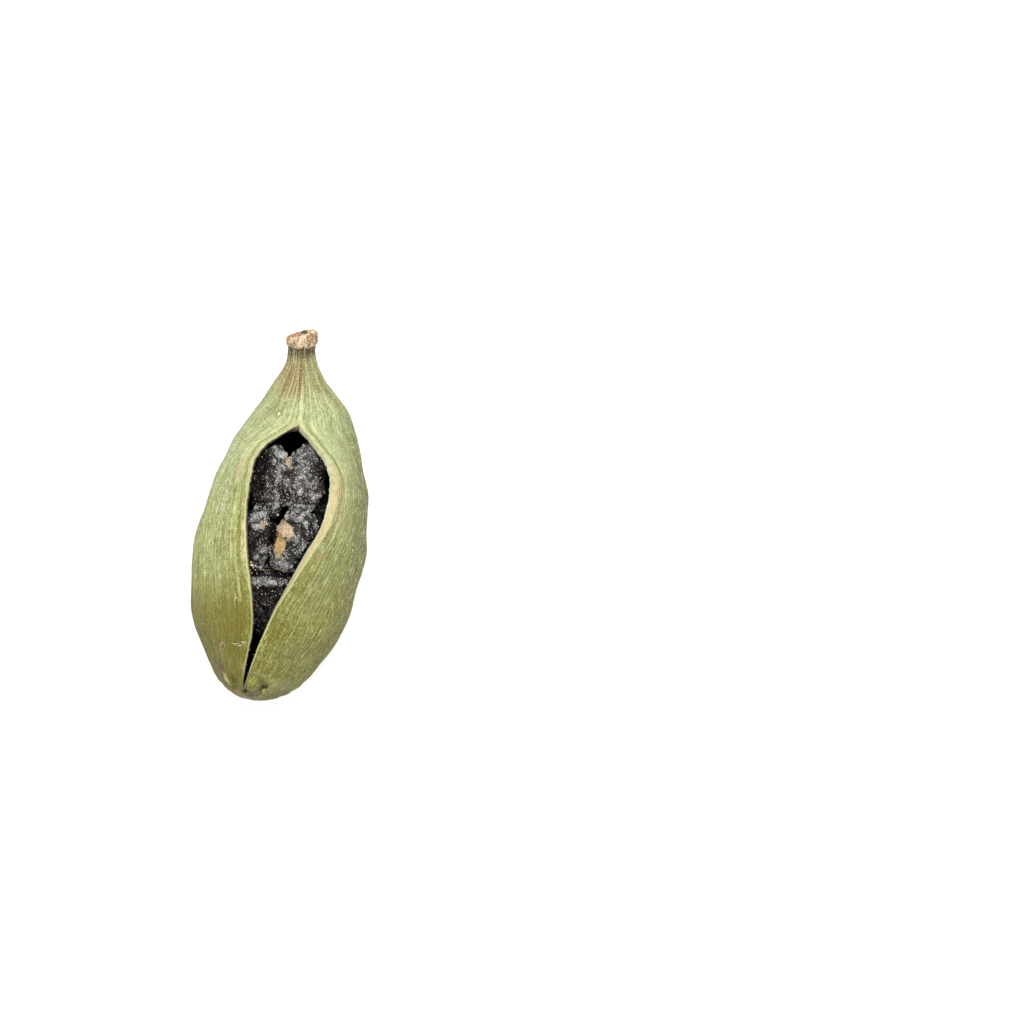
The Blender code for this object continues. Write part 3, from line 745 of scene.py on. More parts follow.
    @staticmethod
    def marks(tree: ShaderTree) -> list[tuple[Value, str, float]]:
        """The scars, stains and spots that show on the pod's upper side, with colour and strength; the dark pits at the
        stalk's end and at the tip are painted shade.
        """
        return [
            (tree.mark(-2.30, 2.12, 0.12, 0.60, 14.0, 0.65), "pink", 0.9),
            (tree.mark(-1.95, 3.72, 0.09, 0.35, 42.0, 0.7), "pink", 0.4),
            (tree.mark(-2.36, 1.00, 0.10, 0.35, 8.0, 0.5), "stain", 0.6),
            (tree.mark(-3.13, -1.76, 0.11, 0.16, 0.0, 0.5), "stain", 0.7),
            (tree.mark(-2.15, -7.21, 0.16, 0.28, 20.0, 0.4), "pink", 0.7),
            (tree.mark(-2.13, -7.25, 0.08, 0.17, 20.0, 0.4), "stain", 0.95),
            (tree.mark(2.38, -1.90, 0.24, 0.30, -30.0, 0.5), "tan", 0.55),
            (tree.mark(0.95, -5.45, 0.10, 0.45, 60.0, 0.5), "pink", 0.5),
            (tree.mark(-1.02, 4.98, 0.15, 0.36, 62.0, 1.5), "pink", 0.30),
            (tree.mark(-1.18, 5.42, 0.05, 0.09, 30.0, 0.6), "hole", 0.6),
            (tree.mark(3.10, 1.20, 0.30, 1.80, -8.0, 1.8), "pink", 0.25),
            # Painted shade in the pit at the stalk's end.
            (tree.mark(-0.03, 9.74, 0.24, 0.15, 10.0, 0.5), "hole", 1.0),
            (tree.mark(-0.02, 9.74, 0.16, 0.10, 10.0, 0.5), "hole", 1.0),
            # Painted shade in the pit where the slit ends at the tip.
            (tree.mark(-0.74, -9.52, 0.12, 0.13, 0.0, 0.5), "hole", 1.0),
            (tree.mark(-2.35, -8.45, 0.40, 0.75, -20.0, 0.9), "purple", 0.75),
            (tree.mark(-1.80, -8.98, 0.09, 0.42, -35.0, 0.6), "crest", 0.45),
            (tree.mark(-1.35, -9.68, 0.90, 0.22, 15.0, 0.9), "pink", 0.4),
            (tree.mark(0.95, -9.05, 0.60, 0.35, -20.0, 1.8), "pink", 0.25),
            # Painted shade in the groove beside the tip's lobe.
            (tree.mark(0.26, -9.16, 0.09, 0.22, 62.0, 0.6), "hole", 0.9),
            (tree.mark(-0.70, -9.20, 0.10, 0.45, -15.0, 0.8), "purple", 0.7),
            (tree.mark(0.80, -6.10, 0.50, 0.95, 25.0, 0.9), "olive", 0.7),
            (tree.mark(-1.50, -6.40, 0.50, 1.20, 10.0, 0.8), "olive", 0.6),
            (tree.mark(1.05, -2.60, 0.30, 1.30, 28.0, 1.2), "olive", 0.5),
        ]


@dataclass(frozen=True)
class TornEdgeFinish:
    """The torn edge of the wall: fibrous, cream and dry."""

    light: float = 1.45
    cream: tuple[int, int, int] = (212, 201, 150)
    green: tuple[int, int, int] = (236, 243, 196)
    rim: tuple[int, int, int] = (224, 230, 196)
    pink: tuple[int, int, int] = (190, 162, 108)
    brown: tuple[int, int, int] = (92, 74, 44)

    def material(self) -> bpy.types.Material:
        """Builds the material."""
        tree = ShaderTree("torn husk edge")
        across, station = tree.husk_place()
        on_left = across.math("GREATER_THAN", 0.495)
        across = across * 2.0 - on_left
        shades = (self.cream, self.green, self.rim, self.pink, self.brown)
        cream, green, rim, pink, brown = (tone(*shade, self.light) for shade in shades)
        fibres = tree.noise(tree.vector(across * 5.0, station * 1.6, tree.place.parts()[0]), 1.0, 4.0, 0.65)
        mottle = tree.noise(tree.place, 6.0, 3.0, 0.65)
        # Paler green towards the top of the slit: partly the torn face's own colour, partly painted light on a face
        # that turns away from the lamp.
        colour = tree.mixed(station.rise(11.8, 13.2), cream, green)
        colour = tree.mixed(fibres.rise(0.52, 0.36) * 0.5, colour, pink)
        colour = tree.mixed(mottle.rise(0.46, 0.34) * 0.4, colour, brown)
        colour = tree.mixed((across + mottle * 0.3).rise(0.36, 0.10) * 0.8, colour, pink)
        colour = tree.mixed((across + mottle * 0.2).rise(0.80, 0.98), colour, rim)
        on_right = station.rise(3.5, 1.8) * across.rise(0.1, 0.5)
        shaded = (on_left * across.rise(0.15, 0.6) * 0.8 + on_right).clamped()
        colour = tree.mixed(shaded, colour, brown)
        # Painted shade: the torn faces turn near-black towards the slit's low end, where it narrows into the hollow.
        colour = tree.mixed(station.rise(1.8, 1.0) * 0.7, colour, (0.012, 0.009, 0.007, 1.0))
        return tree.finish(colour, fibres * 0.2 + 0.65, fibres * 0.5 + mottle * 0.5, 0.07, Specular_IOR_Level=0.2)


@dataclass(frozen=True)
class LiningFinish:
    """The chamber's inner face, painted near-black as shade in the hollow."""

    dark: Colour = (0.006, 0.0045, 0.004, 1.0)
    brown: Colour = (0.022, 0.016, 0.012, 1.0)

    def material(self) -> bpy.types.Material:
        """Builds the material."""
        tree = ShaderTree("husk lining in painted shade")
        stains = tree.noise(tree.place, 1.6, 3.0, 0.6)
        colour = tree.mixed(stains.rise(0.45, 0.75), self.dark, self.brown)
        return tree.finish(colour, stains * 0.2 + 0.7, stains, 0.05, Specular_IOR_Level=0.05)


@dataclass(frozen=True)
class SeedFinish:
    """The seeds' wrinkled brown-black coat under a grey mealy coating, with painted light: the coating is kept to the
    lit, up-facing tops, and the pits and sides are left black as painted shade.
    """

    light: float = 1.45
    black: tuple[int, int, int] = (6, 3, 4)
    brown: tuple[int, int, int] = (28, 19, 19)
    haze: tuple[int, int, int] = (214, 212, 208)
    bright: tuple[int, int, int] = (242, 240, 232)
    amber: tuple[int, int, int] = (142, 112, 60)
    pink: tuple[int, int, int] = (232, 204, 176)
    ochre: tuple[int, int, int] = (204, 172, 112)

    def seen(self, name: str) -> Colour:
        """One of the colours as a reflectance."""
        return tone(*getattr(self, name), self.light)

    def material(self) -> bpy.types.Material:
        """Builds the material."""
        tree = ShaderTree("dark seed coat")
        crest = tree.attribute("crest")
        facing = tree.attribute("facing")
        meal = tree.noise(tree.place, 8.0, 3.0, 0.75)
        specks = tree.noise(tree.place, 15.0, 2.0, 0.7, 6.0)
        # Pits black and raised parts browner: partly painted shade in the pits, partly the coat's own tone.
        colour = tree.mixed(crest.rise(0.4, 0.8), self.seen("black"), self.seen("brown"))
        # The grey meal, partly painted light: kept to raised, up-facing places where light falls, leaving the shaded
        # sides black.
        haze = tree.bloom_and_light(tree.place) * facing.rise(0.15, 0.75) * (crest.rise(0.25, 0.58) * 0.8 + 0.2)
        colour = tree.mixed(haze * (meal.rise(0.37, 0.60) * 0.88 + 0.12), colour, self.seen("haze"))
        colour = tree.mixed((haze * 0.97 + 0.03) * specks.rise(0.53, 0.62), colour, self.seen("bright"))
        amber = tree.noise(tree.place, 17.0, 1.0, 0.5, 11.0)
        colour = tree.mixed(amber.rise(0.67, 0.75) * 0.7, colour, self.seen("amber"))
        for mark, name, strength in self.marks(tree):
            scrap = tree.mixed(meal.rise(0.3, 0.6), self.seen("ochre"), self.seen(name))
            scrap = tree.mixed(specks.rise(0.50, 0.38) * 0.7, scrap, self.seen("brown"))
            colour = tree.mixed(mark * strength, colour, scrap)
        relief = meal * 0.6 + specks * 0.4
        return tree.finish(colour, meal * 0.3 + 0.45, relief, 0.06, Specular_IOR_Level=0.1)

    @staticmethod
    def marks(tree: ShaderTree) -> list[tuple[Value, str, float]]:
        """Where scraps of the seeds' pale skin still cling, with colour and strength."""
        return [
            (tree.mark(0.42, -0.72, 0.36, 0.62, -52.0, 0.55), "pink", 1.0),
            (tree.mark(0.28, -1.62, 0.30, 0.72, 6.0, 0.55), "ochre", 1.0),
            (tree.mark(0.15, 2.80, 0.15, 0.46, -22.0, 1.0), "pink", 0.75),
            (tree.mark(-0.76, -0.62, 0.16, 0.24, 0.0, 1.0), "pink", 0.6),
        ]


@dataclass(frozen=True)
class CrumbFinish:
    """Loose meal, fibres and specks of one colour that differs a little from bit to bit."""

    name: str
    dull: tuple[int, int, int]
    bright: tuple[int, int, int]
    light: float = 1.45

    def material(self) -> bpy.types.Material:
        """Builds the material."""
        tree = ShaderTree(self.name)
        cloud = tree.noise(tree.place, 6.0, 2.0, 0.6)
        factor = (tree.attribute("tint") * 0.7 + cloud * 0.3).rise(0.15, 0.85)
        colour = tree.mixed(factor, tone(*self.dull, self.light), tone(*self.bright, self.light))
        return tree.finish(colour, cloud * 0.2 + 0.6, cloud, 0.01, Specular_IOR_Level=0.3)


class MeshMaker:
    """Gathers rows of points into one mesh with a UV map, layers and named numbers at its points."""

    def __init__(self, names: tuple[str, ...]) -> None:
        """Starts an empty mesh whose points carry numbers of these names."""
        self.names = names
        self.points: list[np.ndarray] = []
        self.numbers: list[np.ndarray] = []
        self.faces: list[np.ndarray] = []
        self.corners: list[np.ndarray] = []
        self.layers: list[int] = []
        self.count = 0

    def add_points(self, points: np.ndarray, numbers: tuple[np.ndarray, ...]) -> np.ndarray:
        """Adds a grid of points and returns the grid of their places in the mesh."""
        shape = points.shape[:-1]
        self.points.append(points.reshape(-1, 3))
        grids = [np.broadcast_to(number, shape).reshape(-1) for number in numbers]
        self.numbers.append(np.stack(grids, axis=-1))
        places = self.count + np.arange(math.prod(shape)).reshape(shape)
        self.count += math.prod(shape)
        return places

    def add_rows(self, points: np.ndarray, numbers: tuple[np.ndarray, ...], is_open: np.ndarray) -> np.ndarray:
        """Adds rows of points; a closed row uses its first point again as its last."""
        places = self.add_points(points, numbers)
        places[~is_open, -1] = places[~is_open, 0]
        return places

    def add_faces(self, faces: np.ndarray, corners: np.ndarray, layer: Layer, flipped: bool) -> None:
        """Adds faces with the UV place of each corner, turned over where flipped is true."""
        step = -1 if flipped else 1
        self.faces += [face for face in faces[:, ::step]]
        self.corners.append(corners[:, ::step].reshape(-1, 2))
        self.layers += [layer.value] * len(faces)

    def skin(self, rows: np.ndarray, corners: np.ndarray, layer: Layer, flipped: bool = False) -> None:
        """Adds quads between neighbouring rows."""
        quads, places = (
            np.stack([grid[:-1, :-1], grid[:-1, 1:], grid[1:, 1:], grid[1:, :-1]], axis=2) for grid in (rows, corners)
        )
        self.add_faces(quads.reshape(-1, 4), places.reshape(-1, 4, 2), layer, flipped)

    def cap(self, row: np.ndarray, corners: np.ndarray, pole: int, layer: Layer, flipped: bool = False) -> None:
        """Adds triangles from a closed row to one point."""
        poles = np.full(len(row) - 1, pole)
        middles = 0.5 * (corners[:-1] + corners[1:])
        triangles = np.stack([row[:-1], row[1:], poles], axis=1)
        self.add_faces(triangles, np.stack([corners[:-1], corners[1:], middles], axis=1), layer, flipped)

    def finish(self, name: str) -> bpy.types.Mesh:
        """Makes the mesh, without the points that no face uses."""
        used, renumbered = np.unique(np.concatenate(self.faces), return_inverse=True)
        ends = np.cumsum([len(face) for face in self.faces])
        faces = [part.tolist() for part in np.split(renumbered, ends[:-1])]
        mesh = bpy.data.meshes.new(name)
        mesh.from_pydata(np.concatenate(self.points)[used].tolist(), [], faces)
        uv_map = mesh.uv_layers.new(name="UVMap")
        uv_map.data.foreach_set("uv", np.concatenate(self.corners).astype(np.float32).reshape(-1))
        layers = mesh.attributes.new("layer", "FLOAT", "FACE")
        layers.data.foreach_set("value", np.asarray(self.layers, np.float32))
        numbers = np.concatenate(self.numbers)[used]
        for k, label in enumerate(self.names):
            kept = mesh.attributes.new(label, "FLOAT", "POINT")
            kept.data.foreach_set("value", np.ascontiguousarray(numbers[:, k], np.float32))
        mesh.update()
        return mesh


@dataclass
class Husk:
    """The capsule wall with its stalk end, ribbed along its length and torn open along the slit."""

    uv_length = 20.0

    form: PodForm
    columns: int = 400
    slit_rows: int = 130
    tip_rows: int = 14
    neck_rows: int = 38
    stalk_rows: int = 26
    lining_columns: int = 48
    edge_steps: int = 6
    even_rows_share: float = 0.35
    tip_pit_depth: float = 0.14
    rows_below_slit: tuple[float, ...] = (0.85, 0.5)
    rows_above_slit: tuple[float, ...] = (0.3, 0.6, 0.85)
    stalk_end: Table = (
        (0.0, 18.95, 0.71),
        (1.0, 19.08, 0.73),
        (2.0, 19.24, 0.80),
        (3.0, 19.42, 0.83),
        (4.0, 19.62, 0.79),
        (5.0, 19.75, 0.62),
        (6.0, 19.64, 0.40),
    )
    stalk_pit: float = 19.35
    edge_shows: Table = (
        (0.7, 0.00, 0.00, 0.10),
        (3.0, 0.02, 0.05, 0.02),
        (5.0, 0.04, 0.10, 0.00),
        (6.5, 0.04, 0.21, 0.00),
        (8.0, 0.05, 0.32, 0.00),
        (9.5, 0.05, 0.40, 0.00),
        (11.0, 0.05, 0.45, 0.00),
        (12.5, 0.05, 0.38, -0.06),
        (13.4, 0.09, 0.24, -0.14),
        (14.2, 0.10, 0.13, -0.17),
        (14.6, 0.06, 0.07, -0.27),
        (14.9, 0.00, 0.00, -0.42),
    )
    arch_turns: tuple[float, float] = (14.55, 14.9)
    tear_width: float = 0.026
    edge_bulge: float = 0.02
    neck_ribs: int = 13
    neck_rib_height: float = 0.04
    keel_height: float = 0.10
    keel_width: float = 0.17
    lip_height: float = 0.05
    lip_width: float = 0.13
    lip_groove: float = 0.38
    knob_tilt: float = 0.26
    tip_folds: int = 7
    tip_fold_height: float = 0.06
    tip_fold_reach: float = 1.1
    tip_fold_phase: float = 0.8
    seed_bulge: float = 0.10
    seed_pitch: float = 3.3
    seed_bulge_station: float = 4.9
    ribs: dict[str, Any] = field(default_factory=lambda: {
        "Grooves": 30.0,
        "Groove depth": 0.06,
        "Fine ribs": 78.0,
        "Fine rib height": 0.032,
        "Undulation": 0.10,
        "Tear height": 0.025,
        "Crumple": 0.12,
        "Tip creases": 23.0,
        "Crease depth": 0.018,
        "Lump height": 0.11,
        "Seed": 3,
    })

    def relief(self, station: np.ndarray, angle: np.ndarray, to_edge: np.ndarray) -> np.ndarray:
        """Height of the folds, keel, neck ribs and seed bulges over the plain section."""
        row = station[:, None]
        height = self.neck_rib_height * np.cos(self.neck_ribs * angle) * between((14.5, 17.0), (18.6, 19.6), row)
        folds = np.exp(-((row / self.tip_fold_reach) ** 2)) * smooth(0.0, 0.3, row)
        height = height + self.tip_fold_height * folds * np.cos(self.tip_folds * angle + self.tip_fold_phase)
        keel = np.exp(-((to_edge / self.keel_width) ** 2))
        height = height + self.keel_height * keel * between((14.0, 15.0), (16.5, 18.5), row)
        at_slit = between((2.5, 5.0), (14.6, 15.0), row)
        lip = np.exp(-((to_edge / self.lip_width) ** 2))
        groove = np.exp(-(((to_edge - self.lip_groove) / self.lip_width) ** 2))
        height = height + self.lip_height * at_slit * (lip - groove)
        from_top = np.minimum(angle, TURN - angle)
        closed_lobes = np.maximum(0.0, np.cos(3.0 * angle)) * smooth(0.9, 1.6, from_top)
        seeds = np.cos(TURN * (row - self.seed_bulge_station) / self.seed_pitch)
        return height + self.seed_bulge * closed_lobes * seeds * between((2.5, 4.5), (12.0, 14.0), row)

    def torn(self, station: np.ndarray) -> np.ndarray:
        """The edges of the slit at each station, a little ragged where they tore."""
        left, right = along(self.form.slit_edges, station)
        open_slit = between((1.2, 2.5), (14.0, 14.8), station)
        ragged = open_slit * (0.35 + 0.65 * smooth(9.0, 13.0, station))
        for edge, phase, width in ((left, 0.0, 1.0), (right, 2.0, 0.8)):
            for waves, share in ((2.3, 0.9), (5.9, 0.7), (13.7, 0.6), (23.0, 0.6)):
                edge += self.tear_width * width * share * ragged * np.sin(waves * station + phase * waves)
        return np.stack([left, right])

    def slit_stations(self) -> np.ndarray:
        """Stations of the rows along the slit, both closed ends included, closer towards its top."""
        even = np.linspace(0.0, 1.0, self.slit_rows + 1)
        closer = np.sin(0.5 * math.pi * even)
        share = self.even_rows_share * even + (1.0 - self.even_rows_share) * closer
        return self.form.slit_start + (self.form.slit_end - self.form.slit_start) * share

    def hollow_ring(self, station: np.ndarray, edges: Any) -> np.ndarray:
        """Points round the hollow at stations, between the two edges of the slit there."""
        size = self.form.hollow_size(station)
        shares = np.linspace(0.0, 1.0, self.lining_columns + 1)
        angle, _, radius = self.form.section(station, edges, size, shares)
        return self.form.placed(station[:, None], size[1][:, None], radius, angle)

    def hollow_rows(self, outer: np.ndarray) -> np.ndarray:
        """Points round the hollow on the rows that meet the outer rows along the slit.

        Args:
            outer: stations of the outer rows.

        Returns:
            The points, with their edges set back from the outer edges as far as the torn wall shows.
        """
        left_shows, right_shows, shift = along(self.edge_shows, outer)
        station = outer + shift
        left, right = self.torn(outer)
        slid = self.torn(station)[0]
        turns = smooth(*self.arch_turns, outer)
        left = slid + (left - slid) * turns
        return self.hollow_ring(station, (left + left_shows, right - right_shows))

    def add_outer(self, maker: MeshMaker, slit: np.ndarray) -> tuple[np.ndarray, np.ndarray]:
        """Adds the outer face and returns its rows and points along the slit."""
        even = np.linspace(0.0, 1.0, self.tip_rows + 1)[:-1]
        tip = 0.02 + (self.form.slit_start - 0.02) * even**1.5
        neck = np.linspace(self.form.slit_end, self.stalk_end[0][1], self.neck_rows + 1)[1:]
        turns = np.linspace(0.0, self.stalk_end[-1][0], self.stalk_rows + 1)[1:]
        end_station, end_radius = along(self.stalk_end, turns)
        station = np.concatenate([tip, slit, neck, end_station])
        half_width, middle = self.form.body_size(station)
        half_width = np.concatenate([half_width[: -len(end_radius)], end_radius])
        shares = np.linspace(0.0, 1.0, self.columns + 1)
        angle, to_edge, radius = self.form.section(station, self.torn(station), (half_width, middle), shares)
        radius = radius + self.relief(station, angle, to_edge)
        tilt = self.knob_tilt * smooth(18.7, 19.8, station)[:, None] * np.sin(angle)
        points = self.form.placed(station[:, None] + tilt, middle[:, None], radius, angle)
        is_open = (station > self.form.slit_start) & (station < self.form.slit_end)
        rows = maker.add_rows(points, (shares[None, :], station[:, None], to_edge, 1.0), is_open)
        uv = np.stack(np.broadcast_arrays(shares[None, :], station[:, None] / self.uv_length), axis=-1)
        maker.skin(rows, uv, Layer.SKIN)
        for row, depth, flipped in ((0, self.tip_pit_depth, True), (-1, self.stalk_pit, False)):
            pit = np.array([depth])
            point = self.form.placed(pit, self.form.body_size(pit)[1], 0.0, 0.0)
            pole = maker.add_points(point, (0.0, depth, 9.0, 1.0))[0]
            maker.cap(rows[row], uv[row], pole, Layer.SKIN, flipped)
        first = len(tip)
        return rows[first:first + len(slit)], points[first:first + len(slit)]

    def add_lining(self, maker: MeshMaker, slit: np.ndarray) -> tuple[np.ndarray, np.ndarray]:
        """Adds the hollow's face and returns its rows and points along the slit."""
        form = self.form
        start, end = form.slit_start + self.edge_shows[0][3], form.slit_end + self.edge_shows[-1][3]
        below = np.array([start + (form.hollow_start - start) * share for share in self.rows_below_slit])
        above = np.array([end + (form.hollow_end - end) * share for share in self.rows_above_slit])
        low_edge, high_edge = (along(form.slit_edges, np.array([at]))[0] for at in (slit[0], slit[-1]))
        points = self.hollow_rows(slit)
        low_points = self.hollow_ring(below[::-1], (low_edge, low_edge))
        high_points = self.hollow_ring(above, (high_edge, high_edge))
        every = np.concatenate([low_points, points, high_points])
        stations = np.concatenate([below[::-1], slit, above])
        is_open = (stations > form.slit_start + SMALLEST) & (stations < form.slit_end - SMALLEST)
        is_open[: len(below)] = False
        is_open[-len(above):] = False
        rows = maker.add_rows(every, (0.0, stations[:, None], 9.0, 0.0), is_open)
        shares = np.linspace(0.0, 1.0, every.shape[1])
        uv = np.stack(np.broadcast_arrays(shares[None, :], stations[:, None] / self.uv_length), axis=-1)
        maker.skin(rows, uv, Layer.LINING, True)
        for row, at, flipped in ((0, form.hollow_start, False), (-1, form.hollow_end, True)):
            place = np.array([at])
            point = form.placed(place, form.hollow_size(place)[1], 0.0, 0.0)
            maker.cap(rows[row], uv[row], maker.add_points(point, (0.0, at, 9.0, 0.0))[0], Layer.LINING, flipped)
        return rows[len(below):len(below) + len(slit)], points

    def add_torn_edges(self, maker: MeshMaker, slit: np.ndarray, outer: tuple, lining: tuple) -> None:
        """Adds the wall's torn faces between the outer face and the hollow, a little rounded."""
        outer_rows, outer_points = outer
        lining_rows, lining_points = lining
        steps = np.linspace(0.0, 1.0, self.edge_steps + 1)[1:-1]
        for side, flipped in ((0, True), (-1, False)):
            start, end = outer_points[:, side], lining_points[:, side]
            other = outer_points[:, -1 - side] if side == 0 else outer_points[:, 0]
            towards = other - start
            length = np.linalg.norm(towards, axis=1, keepdims=True) + SMALLEST * MM
            towards = towards / length + np.array([0.0, 0.0, 0.5])
            bulge = np.minimum(self.edge_bulge * MM, 0.2 * length)
            share = steps[None, :, None]
            between_them = start[:, None] + (end - start)[:, None] * share
            between_them = between_them + (towards * bulge)[:, None] * 4.0 * share * (1.0 - share)
            inner = maker.add_points(between_them[1:-1], (0.0, slit[1:-1, None], 0.0, 2.0))
            rows = np.empty((len(slit), self.edge_steps + 1), int)
            rows[:, 0], rows[:, -1] = outer_rows[:, side], lining_rows[:, side]
            rows[1:-1, 1:-1] = inner
            across = np.linspace(0.0, 0.49, rows.shape[1]) + (0.0 if side == 0 else 0.5)
            uv = np.stack(np.broadcast_arrays(across[None, :], slit[:, None] / self.uv_length), axis=-1)
            maker.skin(rows[1:-1], uv[1:-1], Layer.TORN_EDGE, flipped)
            for end_row, next_row in ((0, 1), (-1, -2)):
                self.close_edge(maker, rows, uv, (end_row, next_row), flipped)

    @staticmethod
    def close_edge(maker: MeshMaker, rows: np.ndarray, uv: np.ndarray, ends: tuple[int, int], flipped: bool) -> None:
        """Closes a torn face where the slit ends, with a fan from the first points to the next row."""
        end_row, next_row = ends
        start, end = rows[end_row, 0], rows[end_row, -1]
        row, places = rows[next_row], uv[next_row]
        middle = len(row) // 2
        turned = flipped if end_row else not flipped
        fan = np.array([[row[k], row[k + 1], start if k < middle else end] for k in range(len(row) - 1)])
        corners = np.array([[places[k], places[k + 1], places[k]] for k in range(len(row) - 1)])
        maker.add_faces(fan, corners, Layer.TORN_EDGE, turned)
        maker.add_faces(np.array([[start, row[middle], end]]), np.array([[places[0], places[middle], places[-1]]]),
                        Layer.TORN_EDGE, turned)

    def base(self) -> bpy.types.Mesh:
        """The husk before its ribs are raised."""
        maker = MeshMaker(("around", "station", "to_edge", "outer"))
        slit = self.slit_stations()
        outer = self.add_outer(maker, slit)
        lining = self.add_lining(maker, slit)
        self.add_torn_edges(maker, slit, outer, lining)
        return maker.finish("husk base")

    def ribbed_skin(self, finishes: list[bpy.types.Material]) -> GeometryTree:
        """The tree that raises ribs, folds and lumps on the skin and roughens the torn edges."""
        lengths = ("Groove depth", "Fine rib height", "Undulation", "Tear height", "Crumple", "Crease depth", "Lump height")
        sizes = {label: size * MM if label in lengths else size for label, size in self.ribs.items()}
        tree = GeometryTree("ribbed skin", sizes)
        around, station, to_edge, outer = (tree.attribute(name) for name in ("around", "station", "to_edge", "outer"))
        place = tree.node("GeometryNodeInputPosition", {}, {}) * (1.0 / MM)
        normal = tree.node("GeometryNodeInputNormal", {}, {})
        seed = tree["Seed"]
        fine, groove = tree.rib_waves(around, station, tree["Grooves"], tree["Fine ribs"], seed)
        body = station.rise(0.3, 2.5) * station.rise(18.5, 16.5)
        near_edge = to_edge.rise(0.02, 0.4) + station.rise(14.6, 15.4) + station.rise(1.4, 0.6)
        ribs = fine * tree["Fine rib height"] - groove * tree["Groove depth"]
        soft = tree.noise(place, 0.55, 2.0, 0.5, seed + 9.0) - 0.5
        crumple = (tree.noise(place, 1.5, 3.0, 0.6, seed + 5.0) - 0.5) * station.rise(2.4, 0.5)
        lumps = (tree.noise(place, 4.5, 3.0, 0.6, seed + 7.0) - 0.5) * station.rise(18.9, 19.3)
        creases = (around * tree["Tip creases"] * TURN).math("COSINE") * station.rise(2.6, 0.8) * station.rise(0.1, 0.6)
        height = ribs * body * (station.rise(16.0, 13.0) * 0.45 + 0.55)
        height = height + soft * tree["Undulation"] * 2.0 + crumple * tree["Crumple"] * 2.0
        height = height + creases * tree["Crease depth"] + lumps * tree["Lump height"] * 2.0
        for x, y, half_width, half_length, lean, rise in TIP_FOLDS:
            fold = tree.oval(place, x, y, half_width, half_length, lean).rise(1.3, 0.1)
            height = height + fold * place.parts()[2].rise(3.0, 4.2) * (rise * MM)
        height = height * near_edge.clamped()
        on_skin = outer.math("COMPARE", 1.0, 0.4)
        on_tear = outer.math("COMPARE", 2.0, 0.4)
        fibres = tree.noise(place, 4.5, 3.0, 0.7, seed + 2.0) - 0.5
        height = height * on_skin + fibres * tree["Tear height"] * on_tear
        whole = tree["Geometry"]
        whole = tree.moved(whole, normal * height)
        x, y, z = tree.node("GeometryNodeInputPosition", {}, {}).parts()
        grounded = tree.vector(x, y, z.math("MAXIMUM", 0.0))
        whole = tree.node("GeometryNodeSetPosition", {}, {"Geometry": whole, "Position": grounded})
        layer = tree.attribute("layer")
        chosen = [(layer.math("COMPARE", float(kind.value), 0.3), finishes[kind.value]) for kind in Layer]
        tree.finish(whole, chosen)
        return tree

    def build(self, finishes: list[bpy.types.Material]) -> bpy.types.Object:
        """Builds the husk.

        Args:
            finishes: the materials of skin, torn edge and lining.

        Returns:
            The finished piece.
        """
        return self.ribbed_skin(finishes).grow("husk_wall", self.base())


@dataclass(frozen=True)
class SeedPlace:
    """Where one seed lies: its middle sideways, along and over the axis, half sizes, turn and pitch."""

    name: str
    middle: Place
    half_size: Place
    turn: float = 0.0
    pitch: float = 0.0
    roll: float = 0.0
    phase: float = 0.0


